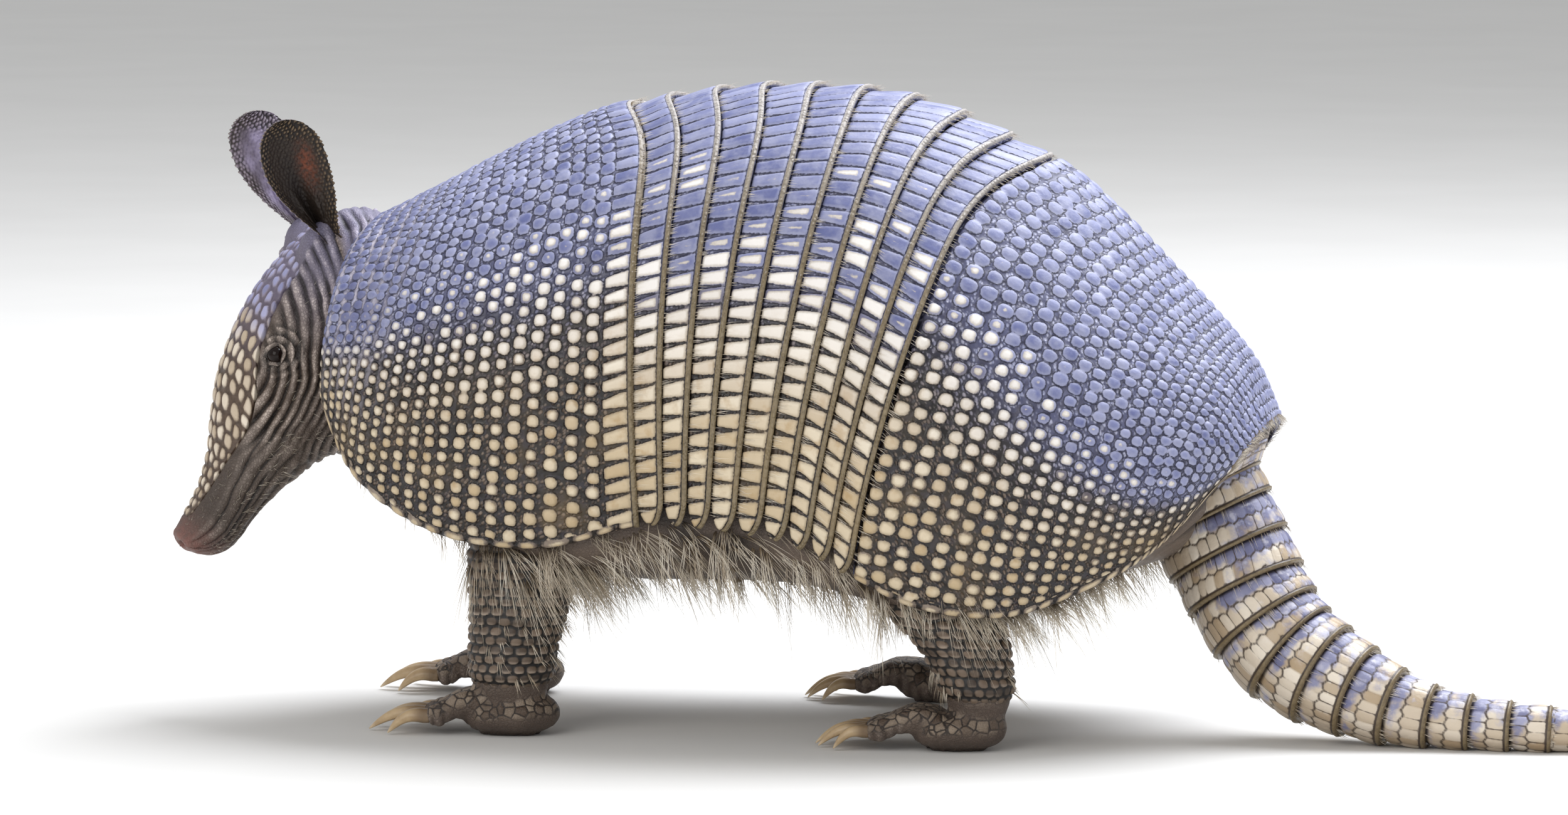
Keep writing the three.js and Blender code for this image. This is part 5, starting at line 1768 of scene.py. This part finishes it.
def legHair():
    # long hair on the upper legs, fewer and shorter hairs between the scales below
    roots = []
    for k, name in enumerate(legs):
        table = legTable(name)
        upper = hair["upperLevels"][name.split("_")[0]]
        for part, seed, (low, high), size in (("upperLeg", 10, upper, (12, 26)),
                                              ("lowerLeg", 15, (19, 52), (3, 7))):
            shared, own, spray = tufts(hair[part], 5, seed + k)
            z = mix(low, high, shared[:, 0]) + own[:, 0]
            angle = shared[:, 1] * 360 + own[:, 1] * 6
            if part == "upperLeg":
                angle = np.where(shared[:, 2] < 0.72, -80 + 160 * shared[:, 1], angle)
            middle = legPoint(table, z, angle, -9.0)
            points, normals, _ = surfaceFrame(lambda a, b: legPoint(table, a, b), z, angle, 0.5, 1.0, middle)
            ways = unit(normals * 0.6 + [0.35, 0, -0.75] + spray * 0.14)
            bends = np.array([0.12, 0, -0.3]) + spray[:, ::-1] * 0.06
            lengths = mix(*size, shared[:, 4]) * mix(0.7, 1.1, own[:, 2])
            tones = np.clip(0.25 + 0.5 * shared[:, 3] + 0.3 * (own[:, 3] - 0.5), 0, 1)
            roots.append((points, ways, bends, np.minimum(lengths, points[:, 2] * 0.85),
                          placeOnBody(points, angle), tones))
    strands("legHair", "leg_skin", roots)


def rimHair():
    # short pale hairs lying back from under each band's rim and from the rear rims of both shields
    bandRims = [bandPlace(k + bandDetail["rear"]) for k in range(carapace["bands"])]
    roots = []
    for k, edge in enumerate([carapace["shoulderEnd"], *bandRims, carapace["hipEnd"] - 0.03]):
        shared, own, spray = tufts(hair["rim"], 2, 40 + k)
        turn = (shared[:, 0] - 0.5) * 2 * 112 + (own[:, 0] - 0.5) * 1.5
        at = np.full_like(turn, edge)
        points = carapacePoint(at - 0.02, turn, 0.25)
        rearward = unit(carapacePoint(at + 0.05, turn) - carapacePoint(at, turn))
        outward = unit(carapacePoint(at, turn, -1.0) - carapacePoint(at, turn, 1.0))
        ways = unit(rearward + outward * (0.12 + 0.1 * own[:, 1:2]) + spray * 0.12)
        bends = outward * -0.05 + spray[:, ::-1] * 0.05
        lengths = mix(2.2, 5.0, own[:, 2]) * mix(1.0, 1.5, ease(60, 110, np.abs(turn)))
        roots.append((points, ways, bends, lengths, placeOnBody(points, turn + 180), 0.6 + 0.4 * own[:, 3]))
    strands("rimHair", "bands", roots, thick=0.6)


def tailHair():
    # a few stiff hairs from under each ring's rear rim, none where the tail lies on the floor
    roots = []
    for k in range(tail["rings"]):
        shared, own, spray = tufts(hair["tail"], 2, 60 + k)
        angle = shared[:, 0] * 360 + own[:, 0] * 4
        distance = np.full_like(angle, (k + 1) * tail["pitch"] - 0.4)
        points = tailPoint(distance, angle, 0.1)
        rearward = unit(tailPoint(distance + 2, angle, 0.1) - points)
        outward = unit(tailPoint(distance, angle, 1.0) - tailPoint(distance, angle) + [0, 0, 1e-6])
        ways = unit(rearward + outward * 0.3 + spray * 0.12)
        lengths = mix(2.5, 5.5, own[:, 2]) * (1 - 0.04 * k)
        keep = points[:, 2] > 1.5
        columns = points, ways, outward * -0.12, lengths, placeOnBody(points, angle), 0.3 + 0.6 * own[:, 3]
        roots.append([v[keep] for v in columns])
    strands("tailHair", "tail", roots, thick=0.6)


def faceHair():
    # fine short hairs over cheeks, chin and neck, none close to the eyes
    shared, own, spray = tufts(hair["face"], 2, 80)
    at = mix(1.2, 9.2, shared[:, 0])
    side = np.where(shared[:, 1] < 0.5, -1.0, 1.0)
    turn = side * mix(along(plateEdge, at, 1) + 12, 172.0, shared[:, 2])
    middle = (headPoint(at, 0 * at) + headPoint(at, 0 * at + 180)) / 2
    points, normals, forward = surfaceFrame(lambda a, b: headPoint(a, b, 0.5), at, turn, 0.05, 0.5, middle)
    ways = unit(normals * 0.45 - forward * 0.8 + [0, 0, -0.3] + spray * 0.2)
    lengths = mix(2.0, 5.0, own[:, 2]) * mix(1.0, 0.5, ease(5, 9, at))
    fromEyes = [np.linalg.norm(points - eyeFrame(k)[0], axis=-1) for k in (1, -1)]
    keep = np.minimum(*fromEyes) > 8
    columns = points, ways, spray * 0.08, lengths, placeOnBody(points, turn + 180), 0.4 + 0.5 * own[:, 3]
    strands("faceHair", "skin", [[v[keep] for v in columns]], thick=0.5)


bellyHair()
legHair()
rimHair()
tailHair()
faceHair()
print("hair")
